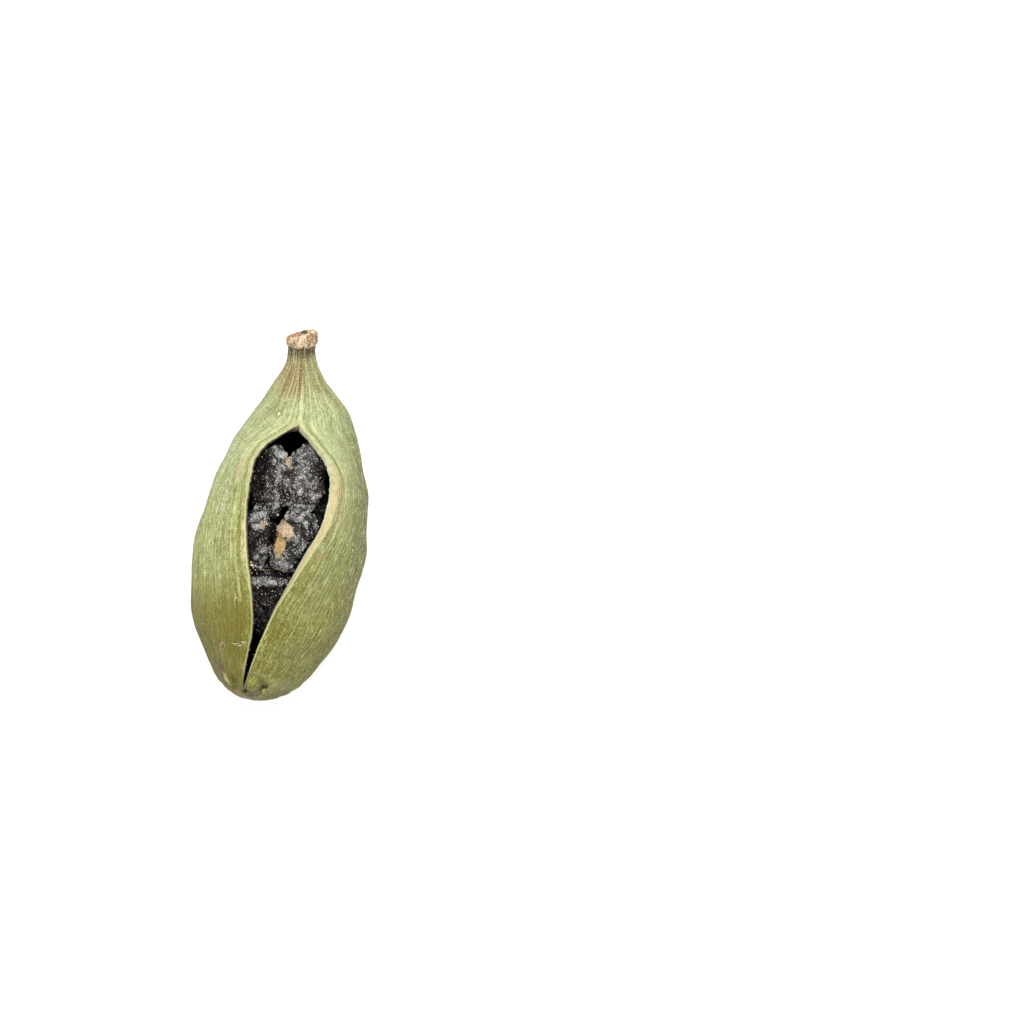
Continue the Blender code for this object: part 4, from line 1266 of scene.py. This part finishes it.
@dataclass
class Seeds:
    """The angular seeds of one chamber, which cling together."""

    form: PodForm
    node: str
    places: tuple[SeedPlace, ...]
    fineness: int = 6
    bluntness: float = 0.72
    corners: int = 5
    corner_depth: float = 0.08
    furrows: int = 3
    furrow_depth: float = 0.045
    fold_height: float = 0.20
    lump_height: float = 0.12
    wrinkle_height: float = 0.10

    def tree(self, finish: bpy.types.Material) -> GeometryTree:
        """The tree that shapes one wrinkled seed from a ball."""
        tree = GeometryTree("wrinkled seed", {
            "Middle": (0.0, 0.0, 0.0),
            "Half size": (MM, MM, MM),
            "Turn": (0.0, 0.0, 0.0),
            "Phase": 0.0,
            "Fineness": self.fineness,
            "Bluntness": self.bluntness,
            "Corners": float(self.corners),
            "Corner depth": self.corner_depth,
            "Furrows": float(self.furrows),
            "Furrow depth": self.furrow_depth,
            "Fold height": self.fold_height * MM,
            "Lump height": self.lump_height * MM,
            "Wrinkle height": self.wrinkle_height * MM,
            "Seed": 1,
        })
        ball = tree.node("GeometryNodeMeshIcoSphere", {}, {"Radius": 1.0, "Subdivisions": tree["Fineness"]})
        place = tree.node("GeometryNodeInputPosition", {}, {})
        x, y, z = place.parts()
        around = x.math("ARCTAN2", z)
        width = (1.0 - y * y).math("MAXIMUM", 0.002) ** ((tree["Bluntness"] - 1.0) * 0.5)
        corner = (around * tree["Corners"] + tree["Phase"]).math("COSINE") * tree["Corner depth"] + 1.0
        furrow = (y * tree["Furrows"] * math.pi + tree["Phase"]).math("COSINE") * tree["Furrow depth"] + 1.0
        radius = width * corner * furrow
        size_x, size_y, size_z = tree["Half size"].parts()
        shaped = tree.vector(x * radius * size_x, y * size_y, z * radius * size_z)
        seed = tree.node("GeometryNodeSetPosition", {}, {"Geometry": ball, "Position": shaped})
        local = place * (1.0 / MM)
        number = tree["Seed"]
        folds = tree.noise(local, 0.75, 2.0, 0.5, number)
        lumps = 1.0 - tree.lumps(local, 2.4, 0.35, number) * 1.3
        wrinkles = tree.noise(local, 5.0, 3.0, 0.65, number + 3.0)
        height = (folds - 0.5) * tree["Fold height"] * 2.0 + (lumps - 0.6) * tree["Lump height"] * 2.0
        height = height + (wrinkles - 0.5) * tree["Wrinkle height"] * 2.0
        crest = (folds - 0.5) * 0.8 + (lumps - 0.6) * 0.9 + (wrinkles - 0.5) * 0.9 + 0.5
        seed = tree.kept(seed, "crest", crest.clamped())
        normal = tree.node("GeometryNodeInputNormal", {}, {})
        seed = tree.moved(seed, normal * height)
        turning = {"Vector": tree.node("GeometryNodeInputPosition", {}, {}), "Rotation": tree["Turn"]}
        turned = tree.node("ShaderNodeVectorRotate", {"rotation_type": "EULER_XYZ"}, turning)
        seed = tree.node("GeometryNodeSetPosition", {}, {"Geometry": seed, "Position": turned + tree["Middle"]})
        # How far the surface faces up, which the seed coat uses to keep its grey meal to the lit tops as painted light.
        seed = tree.kept(seed, "facing", tree.node("GeometryNodeInputNormal", {}, {}).parts()[2])
        tree.finish(seed, [(True, finish)])
        return tree

    def build(self, finish: bpy.types.Material, start: int) -> list[bpy.types.Object]:
        """Builds the seeds.

        Args:
            finish: their material.
            start: number of the first seed, from which its wrinkles follow.

        Returns:
            The finished pieces.
        """
        tree = self.tree(finish)
        pieces = []
        for k, place in enumerate(self.places):
            sideways, station, rise = place.middle
            centre = (sideways - self.form.box_centre_x, station - self.form.box_centre_y, self.form.axis_height + rise)
            turn = tuple(math.radians(angle) for angle in (place.pitch, place.roll, place.turn))
            pieces.append(tree.grow(
                place.name,
                bpy.data.meshes.new(place.name),
                middle=tuple(part * MM for part in centre),
                half_size=tuple(part * MM for part in place.half_size),
                turn=turn,
                phase=place.phase,
                seed=start + k,
            ))
        return pieces


@dataclass(frozen=True)
class Crumbs:
    """Tiny bits scattered over a surface by a geometry tree."""

    name: str
    count: float
    size: float
    spread: float
    seed: int
    flatness: float = 0.7
    patchiness: float = 0.0
    facing: float = 0.0
    on_bloom_and_light: bool = False
    sides: int = 1

    def tree(self, finish: bpy.types.Material) -> GeometryTree:
        """The tree that scatters the crumbs."""
        tree = GeometryTree(self.name, {
            "Count a square millimetre": self.count / (MM * MM),
            "Size": self.size * MM,
            "Spread": self.spread,
            "Flatness": self.flatness,
            "Patchiness": self.patchiness,
            "Facing": self.facing,
            "Seed": self.seed,
        })
        place = tree.node("GeometryNodeInputPosition", {}, {}) * (1.0 / MM)
        patches = tree.noise(place, 3.0, 2.0, 0.6, tree["Seed"]).rise(0.44, 0.62)
        # Only on the seeds' grey meal clouds, which are partly painted light on their lit tops.
        if self.on_bloom_and_light:
            patches = patches * tree.bloom_and_light(place)
        up = tree.node("GeometryNodeInputNormal", {}, {}).parts()[2].rise(0.25, 0.9)
        density = 1.0 - tree["Patchiness"] * (1.0 - patches)
        density = density * (1.0 - tree["Facing"] * (1.0 - up)) * tree["Count a square millimetre"]
        density = density * place.parts()[2].rise(0.1, 0.3)
        scattering = {"Mesh": tree["Geometry"], "Density": density, "Seed": tree["Seed"]}
        points = tree.node("GeometryNodeDistributePointsOnFaces", {"distribute_method": "RANDOM"}, scattering)
        rotation = Value(tree, points.socket.node.outputs["Rotation"])
        crumb = tree.node("GeometryNodeMeshIcoSphere", {}, {"Radius": 0.5, "Subdivisions": self.sides})
        size = tree["Size"] * (1.0 - tree["Spread"] + tree["Spread"] * 3.0 * tree.random(0.0, 1.0, 1) ** 3.0)
        scale = tree.vector(size * tree.random(0.7, 1.3, 2), size, size * tree["Flatness"])
        placing = {"Points": points, "Instance": crumb, "Rotation": rotation, "Scale": scale}
        bits = tree.node("GeometryNodeInstanceOnPoints", {}, placing)
        bits = tree.kept(bits, "tint", tree.random(0.0, 1.0, 5), "INSTANCE")
        tree.finish(bits, [(True, finish)])
        return tree

    def build(self, carriers: list[bpy.types.Object], finish: bpy.types.Material) -> bpy.types.Object:
        """Scatters the crumbs over the pieces that carry them.

        Args:
            carriers: finished pieces.
            finish: the crumbs' material.

        Returns:
            The finished piece.
        """
        carrier = joined_mesh(self.name, carriers)
        piece = self.tree(finish).grow(self.name, carrier)
        bpy.data.meshes.remove(carrier)
        return piece


@dataclass(frozen=True)
class Fibres:
    """Fine curved fibres that stand off a torn edge."""

    name: str
    count: float
    length: float
    spread: float
    seed: int
    thickness: float = 0.04
    bend: float = 0.3
    sides: int = 3
    steps: int = 6

    def tree(self, finish: bpy.types.Material) -> GeometryTree:
        """The tree that grows the fibres."""
        tree = GeometryTree(self.name, {
            "Count a square millimetre": self.count / (MM * MM),
            "Length": self.length * MM,
            "Spread": self.spread,
            "Thickness": self.thickness,
            "Bend": self.bend,
            "Seed": self.seed,
        })
        values = {"Mesh": tree["Geometry"], "Density": tree["Count a square millimetre"], "Seed": tree["Seed"]}
        points = tree.node("GeometryNodeDistributePointsOnFaces", {"distribute_method": "RANDOM"}, values)
        line = tree.node("GeometryNodeCurvePrimitiveLine", {}, {"Start": (0.0, 0.0, 0.0), "End": (0.0, 0.0, 1.0)})
        line = tree.node("GeometryNodeResampleCurve", {}, {"Curve": line, "Count": self.steps})
        share = tree.node("GeometryNodeSplineParameter", {}, {}, "Factor")
        bent = tree.vector(share * share * tree["Bend"], (share * 5.0).math("SINE") * 0.05, 0.0)
        line = tree.moved(line, bent)
        line = tree.node("GeometryNodeSetCurveRadius", {}, {"Curve": line, "Radius": 1.0 - share * 0.8})
        ring = tree.node("GeometryNodeCurvePrimitiveCircle", {}, {"Resolution": self.sides, "Radius": tree["Thickness"]})
        fibre = tree.node("GeometryNodeCurveToMesh", {}, {"Curve": line, "Profile Curve": ring, "Fill Caps": True})
        length = tree["Length"] * (1.0 + tree["Spread"] * tree.random(-1.0, 1.0, 1))
        turn = tree.vector(tree.random(0.0, TURN, 2), tree.random(0.0, TURN, 3), tree.random(0.0, TURN, 4))
        values = {"Points": points, "Instance": fibre, "Rotation": turn, "Scale": tree.vector(length, length, length)}
        bits = tree.node("GeometryNodeInstanceOnPoints", {}, values)
        bits = tree.kept(bits, "tint", tree.random(0.0, 1.0, 5), "INSTANCE")
        tree.finish(bits, [(True, finish)])
        return tree

    def build(self, carrier: bpy.types.Mesh, finish: bpy.types.Material) -> bpy.types.Object:
        """Grows the fibres on a mesh, which is used up."""
        piece = self.tree(finish).grow(self.name, carrier)
        bpy.data.meshes.remove(carrier)
        return piece


class Carrier:
    """Surfaces that small bits are laid on from above."""

    gap_height = 6.3

    def __init__(self, pieces: list[bpy.types.Object]) -> None:
        """Takes the surfaces of finished pieces."""
        mesh = joined_mesh("surface", pieces)
        points = [vertex.co[:] for vertex in mesh.vertices]
        self.surface = BVHTree.FromPolygons(points, [polygon.vertices[:] for polygon in mesh.polygons])
        bpy.data.meshes.remove(mesh)

    def under(self, x: float, y: float, rise: float) -> Vector:
        """The point a little over the surface at a place.

        Args:
            x, y, rise: the place and how far over the surface, in millimetres.

        Returns:
            The point in metres. Over a gap it is on the nearest wall of the gap.
        """
        start = Vector((x * MM, y * MM, 0.05))
        hit = self.surface.ray_cast(start, Vector((0.0, 0.0, -1.0)))[0]
        if hit is None:
            hit = self.surface.find_nearest(Vector((x, y, self.gap_height)) * MM)[0]
        return hit + Vector((0.0, 0.0, rise * MM))


@dataclass(frozen=True)
class Bits:
    """Single crumbs at places of their own: sideways, along and size, in millimetres."""

    name: str
    places: tuple[Place, ...]
    seed: int
    flatness: float = 0.7
    roughness: float = 0.35

    def tree(self, finish: bpy.types.Material) -> GeometryTree:
        """The tree that puts a rough crumb on each point."""
        tree = GeometryTree(self.name, {"Flatness": self.flatness, "Roughness": self.roughness, "Seed": self.seed})
        ball = tree.node("GeometryNodeMeshIcoSphere", {}, {"Radius": 0.5, "Subdivisions": 3})
        place = tree.node("GeometryNodeInputPosition", {}, {})
        rough = (tree.noise(place, 2.2, 3.0, 0.6, tree["Seed"]) - 0.5) * tree["Roughness"] * 2.0
        ball = tree.moved(ball, place * rough)
        size = tree.attribute("size")
        turn = tree.vector(0.0, 0.0, tree.random(0.0, TURN, 3))
        scale = tree.vector(size * tree.random(0.8, 1.3, 1), size, size * tree["Flatness"])
        values = {"Points": tree["Geometry"], "Instance": ball, "Rotation": turn, "Scale": scale}
        bits = tree.node("GeometryNodeInstanceOnPoints", {}, values)
        bits = tree.kept(bits, "tint", tree.random(0.3, 1.0, 5), "INSTANCE")
        tree.finish(bits, [(True, finish)])
        return tree

    def build(self, carrier: Carrier, finish: bpy.types.Material) -> bpy.types.Object:
        """Lays the crumbs on what carries them."""
        mesh = bpy.data.meshes.new(f"{self.name} points")
        mesh.from_pydata([carrier.under(x, y, 0.15 * size) for x, y, size in self.places], [], [])
        sizes = mesh.attributes.new("size", "FLOAT", "POINT")
        sizes.data.foreach_set("value", [size * MM for _, _, size in self.places])
        return self.tree(finish).grow(self.name, mesh)


@dataclass(frozen=True)
class Thread:
    """A fine strand that lies over what carries it, through places sideways and along, in millimetres."""

    name: str
    places: tuple[tuple[float, float], ...]
    radius: float
    rise: float = 0.03

    def build(self, carrier: Carrier, finish: bpy.types.Material) -> bpy.types.Object:
        """Makes the strand's mesh from a smooth curve."""
        curve = bpy.data.curves.new(self.name, "CURVE")
        curve.dimensions = "3D"
        curve.bevel_depth = self.radius * MM
        curve.bevel_resolution = 2
        curve.use_fill_caps = True
        curve.resolution_u = 8
        spline = curve.splines.new("BEZIER")
        spline.bezier_points.add(len(self.places) - 1)
        for k, (point, (x, y)) in enumerate(zip(spline.bezier_points, self.places)):
            point.co = carrier.under(x, y, self.rise)
            point.handle_left_type = point.handle_right_type = "AUTO"
            point.radius = 1.0 - 0.6 * k / len(self.places)
        guide = new_object(f"{self.name} guide", curve)
        graph = bpy.context.evaluated_depsgraph_get()
        mesh = bpy.data.meshes.new_from_object(guide.evaluated_get(graph))
        bpy.data.objects.remove(guide)
        bpy.data.curves.remove(curve)
        mesh.materials.clear()
        mesh.materials.append(finish)
        return new_object(self.name, mesh)


def joined_mesh(name: str, pieces: list[bpy.types.Object], layer: Layer | None = None) -> bpy.types.Mesh:
    """A new mesh of the faces of several pieces, or of one layer of their faces."""
    points: list[Any] = []
    faces: list[Any] = []
    for piece in pieces:
        start = len(points)
        points += [vertex.co[:] for vertex in piece.data.vertices]
        wanted = list(piece.data.polygons)
        if layer is not None:
            layers = piece.data.attributes["layer"].data
            wanted = [polygon for polygon in wanted if round(layers[polygon.index].value) == layer.value]
        faces += [[start + k for k in polygon.vertices] for polygon in wanted]
    mesh = bpy.data.meshes.new(f"{name} carrier")
    mesh.from_pydata(points, [], faces)
    mesh.update()
    return mesh


@dataclass
class Studio:
    """The pale floor, the soft lights and the camera."""

    floor_size: float = 2400.0
    lens: float = 100.0
    camera_place: Place = (12.1, 1.576, 155.3)
    camera_turn: float = 6.863
    sky: float = 0.42
    floor_shade: float = 0.38
    floor_glow: float = 0.80
    key_power: float = 1.05
    key_size: float = 110.0
    key_place: Place = (5.0, 110.0, 240.0)
    fill_power: float = 0.10
    fill_place: Place = (-160.0, -60.0, 120.0)

    def light(self, name: str, place: Place, power: float, size: float) -> None:
        """Adds a square soft light that shines on the pod."""
        data = bpy.data.lights.new(name, "AREA")
        data.energy = power
        data.size = size * MM
        lamp = bpy.data.objects.new(name, data)
        lamp.location = Vector(place) * MM
        lamp.rotation_euler = (-lamp.location).to_track_quat("-Z", "Y").to_euler()
        bpy.context.scene.collection.objects.link(lamp)

    def floor(self) -> bpy.types.Object:
        """The floor, with a faint mottling that keeps it matt."""
        half = 0.5 * self.floor_size * MM
        mesh = bpy.data.meshes.new("floor")
        mesh.from_pydata([(-half, -half, 0), (half, -half, 0), (half, half, 0), (-half, half, 0)], [], [(0, 1, 2, 3)])
        floor = new_object("floor", mesh)
        tree = ShaderTree("pale floor")
        cloud = tree.noise(tree.place, 0.02, 2.0, 0.5)
        shades = [(*[self.floor_shade * share] * 3, 1.0) for share in (0.98, 1.02)]
        colour = tree.mixed(cloud, *shades)
        glow = {"Emission_Color": (1.0, 1.0, 1.0, 1.0), "Emission_Strength": self.floor_glow}
        floor.data.materials.append(tree.finish(colour, cloud * 0.1 + 0.8, None, 0.0, **glow))
        return floor

    def build(self) -> None:
        """Sets floor, lights, world, camera and view."""
        self.floor()
        self.light("key", self.key_place, self.key_power, self.key_size)
        self.light("fill", self.fill_place, self.fill_power, self.key_size)
        world = bpy.data.worlds.new("pale sky")
        world.use_nodes = True
        background = world.node_tree.nodes["Background"]
        background.inputs["Color"].default_value = (1.0, 1.0, 1.0, 1.0)
        background.inputs["Strength"].default_value = self.sky
        scene = bpy.context.scene
        scene.world = world
        scene.view_settings.view_transform = "Standard"
        data = bpy.data.cameras.new("camera")
        data.lens = self.lens
        data.sensor_width = 36.0
        data.clip_start = 0.01
        camera = bpy.data.objects.new("camera", data)
        camera.location = Vector(self.camera_place) * MM
        camera.rotation_euler = (0.0, 0.0, math.radians(self.camera_turn))
        scene.collection.objects.link(camera)
        scene.camera = camera


# Clouds of the seeds' grey meal, partly painted light where light falls on their tops: x, y, half width and half length
# in millimetres, lean in degrees, and strength.
BLOOM_AND_LIGHT = (
    (-0.12, 3.15, 0.62, 0.95, -4.0, 1.50),
    (-0.22, 3.25, 0.35, 0.55, -8.0, 2.80),
    (-0.16, 1.75, 0.70, 0.80, 0.0, 0.60),
    (-0.30, 0.72, 0.70, 0.70, 0.0, 0.60),
    (1.00, 3.05, 0.62, 1.10, 4.0, 1.05),
    (1.05, 1.55, 0.75, 1.00, 0.0, 0.75),
    (1.80, 1.10, 0.45, 0.95, -12.0, 0.70),
    (-0.92, -0.30, 0.55, 0.65, 0.0, 1.10),
    (-0.40, -2.30, 0.75, 0.75, 0.0, 0.65),
    (0.95, 0.22, 0.85, 0.50, 0.0, 1.50),
    (1.72, -0.20, 0.45, 0.80, -14.0, 0.80),
    (1.22, -1.15, 0.60, 0.90, -14.0, 0.50),
    (0.55, -2.45, 0.60, 0.65, 0.0, 0.70),
    (-0.18, -3.56, 0.95, 0.24, -5.0, 1.60),
    (-0.10, -4.60, 0.30, 0.40, 0.0, 0.08),
)
FRONT_SEEDS = (
    SeedPlace("seed_upper_left", (-0.52, 11.74, 2.06), (1.12, 2.04, 1.06), 4.0, -9.0, 0.0, 0.0),
    SeedPlace("seed_upper_right", (1.38, 11.95, 2.08), (1.10, 2.02, 1.04), -3.0, -9.0, 0.0, 1.3),
    SeedPlace("seed_lower_left", (-0.92, 8.40, 2.24), (1.16, 1.86, 1.10), 6.0, 0.0, 0.0, 2.6),
    SeedPlace("seed_lower_right", (1.12, 8.62, 2.28), (1.24, 1.84, 1.12), -14.0, -2.0, 0.0, 3.9),
    SeedPlace("seed_bottom", (0.15, 5.35, 2.04), (1.45, 1.84, 1.06), 4.0, 5.0, 0.0, 5.2),
)
WHITISH_PATCHES = (
    (-2.95, 0.30, 0.30, 0.95, 4.0),
    (-3.40, -2.05, 0.16, 0.45, 0.0),
    (-2.85, 3.00, 0.34, 1.05, 22.0),
    (2.55, -1.35, 0.26, 0.30, 0.0),
)
SKIN_SPOTS = ((-0.65, 5.23, 0.16), (-1.59, -4.56, 0.10), (3.70, -1.20, 0.10), (4.00, -1.45, 0.08), (-2.6, -2.4, 0.08))
GOLDEN_CRUMBS = ((-0.01, -0.06, 0.14), (0.06, -0.02, 0.08), (0.32, 1.71, 0.09), (0.12, 0.95, 0.06), (-0.35, 1.60, 0.06))
STRANDS = (
    ("cross_strand", ((-1.30, -2.72), (-1.05, -2.85), (-0.80, -2.84), (-0.50, -2.98), (-0.15, -2.95)), 0.022),
    ("short_strand", ((0.10, -2.90), (0.30, -2.84), (0.52, -2.88), (0.70, -2.80)), 0.016),
)
LOOSE_FIBRE = ((-1.58, -6.98), (-1.45, -7.02), (-1.30, -7.08), (-1.16, -7.05), (-1.06, -6.96), (-0.98, -6.99))
PALE_FLAKES = (
    (-1.42, -6.97, 0.06), (-1.27, -6.95, 0.07), (-1.15, -7.04, 0.09), (-1.05, -6.83, 0.06), (-0.94, -6.84, 0.08),
    (-1.52, -0.10, 0.10), (-1.50, -0.28, 0.08), (-2.60, -7.00, 0.06),
)
STRAND_SCRAPS = ((-1.12, -2.66, 0.11), (-1.06, -2.80, 0.14), (-0.98, -2.93, 0.10), (-0.86, -3.02, 0.07), (-1.02, -3.22, 0.07))
TIP_FOLDS = (
    (-0.30, -9.08, 0.40, 0.50, -14.0, 0.20),
    (0.26, -9.16, 0.12, 0.34, 62.0, -0.30),
    (0.16, -9.60, 0.42, 0.26, 0.0, 0.12),
    (-0.74, -9.52, 0.16, 0.16, 0.0, -0.22),
    (-1.75, -8.95, 0.15, 0.60, -35.0, 0.18),
    (-1.38, -9.05, 0.13, 0.55, -30.0, -0.14),
    (-2.05, -8.55, 0.20, 0.50, -25.0, -0.10),
)
BACK_LEVELS = ((5.00, 0.90, 1.92), (8.10, 1.00, 2.12), (11.20, 0.90, 1.84))
BACK_HALF_PITCH = 1.0
BACK_STAGGER = 0.12
BACK_HALF_SIZE = (1.05, 1.82, 1.05)


def back_places(form: PodForm, side: str, direction: float) -> tuple[SeedPlace, ...]:
    """Places of the double row of seeds in a closed chamber.

    Args:
        form: the pod's form.
        side: the chamber's name.
        direction: direction of the chamber's middle from the axis, in radians from the top.

    Returns:
        One place for each seed.
    """
    places = []
    for level, share, distance in BACK_LEVELS:
        middle = float(form.body_size(np.array([level]))[1][0])
        for hand in (-1.0, 1.0):
            across = hand * share * BACK_HALF_PITCH
            x = middle + distance * math.sin(direction) + across * math.cos(direction)
            rise = distance * math.cos(direction) - across * math.sin(direction)
            half_size = tuple(share * size for size in BACK_HALF_SIZE)
            station = level + hand * BACK_STAGGER
            name = f"seed_back_{side}_{len(places) + 1}"
            phase = 1.9 * len(places) + direction
            places.append(SeedPlace(name, (x, station, rise), half_size, 0.0, 0.0, math.degrees(direction), phase))
    return tuple(places)


def mount(piece: bpy.types.Object, slot: Slot, *nodes: str) -> None:
    """Puts a finished piece on the pod's body and reports it."""
    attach(piece, "root")
    if nodes:
        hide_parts(*nodes)
    triangles = sum(len(polygon.vertices) - 2 for polygon in piece.data.polygons)
    log.info("%s: %d triangles", piece.name, triangles)


def main() -> None:
    """Builds the pod's pieces in order, then the studio."""
    logging.basicConfig(level=logging.INFO, format="%(message)s")
    form = PodForm()
    husk = Husk(form).build([SkinFinish().material(), TornEdgeFinish().material(), LiningFinish().material()])
    mount(husk, Slot.HUSK, "husk")
    coat = SeedFinish().material()
    front = Seeds(form, "seeds_front", FRONT_SEEDS).build(coat, 1)
    for piece in front:
        mount(piece, Slot.SEED, "seeds_front")
    third = TURN / 3.0
    for number, (side, direction) in enumerate((("right", third), ("left", -third))):
        node = f"seeds_back_{side}"
        places = back_places(form, side, direction)
        for piece in Seeds(form, node, places, fineness=4).build(coat, 20 + 10 * number):
            mount(piece, Slot.SEED, node)
    pale = CrumbFinish("pale meal", (120, 118, 114), (236, 234, 226)).material()
    golden = CrumbFinish("golden meal", (112, 88, 44), (214, 190, 126)).material()
    meal = Crumbs("pale_meal", 1900.0, 0.038, 0.5, 11, patchiness=0.98, facing=1.0, on_bloom_and_light=True)
    mount(meal.build(front, pale), Slot.SEED)
    gold = Crumbs("golden_meal", 12.0, 0.042, 0.5, 12, patchiness=0.5, facing=0.9)
    mount(gold.build(front, golden), Slot.SEED)
    specks = Crumbs("pale_specks", 1.2, 0.035, 0.5, 13, flatness=0.5, patchiness=0.5)
    mount(specks.build([husk], pale), Slot.HUSK)
    straw = CrumbFinish("pale straw", (204, 186, 144), (242, 234, 206)).material()
    edges = joined_mesh("torn edges", [husk], Layer.TORN_EDGE)
    mount(Fibres("torn_edge_fibres", 7.0, 0.09, 0.6, 14).build(edges, straw), Slot.HUSK)
    skin, clusters = Carrier([husk]), Carrier(front)
    mount(Bits("white_spots", SKIN_SPOTS, 15, flatness=0.45).build(skin, pale), Slot.HUSK)
    mount(Bits("golden_crumbs", GOLDEN_CRUMBS, 16, roughness=0.8).build(clusters, golden), Slot.SEED)
    for name, places, radius in STRANDS:
        mount(Thread(name, places, radius).build(clusters, straw), Slot.SEED)
    scraps = Bits("strand_scraps", STRAND_SCRAPS, 18, flatness=0.6, roughness=0.6)
    mount(scraps.build(clusters, straw), Slot.SEED)
    mount(Thread("loose_fibre", LOOSE_FIBRE, 0.02).build(skin, straw), Slot.HUSK)
    mount(Bits("pale_flakes", PALE_FLAKES, 17, flatness=0.4, roughness=0.6).build(skin, straw), Slot.HUSK)
    Studio().build()


if __name__ == "__main__":
    main()
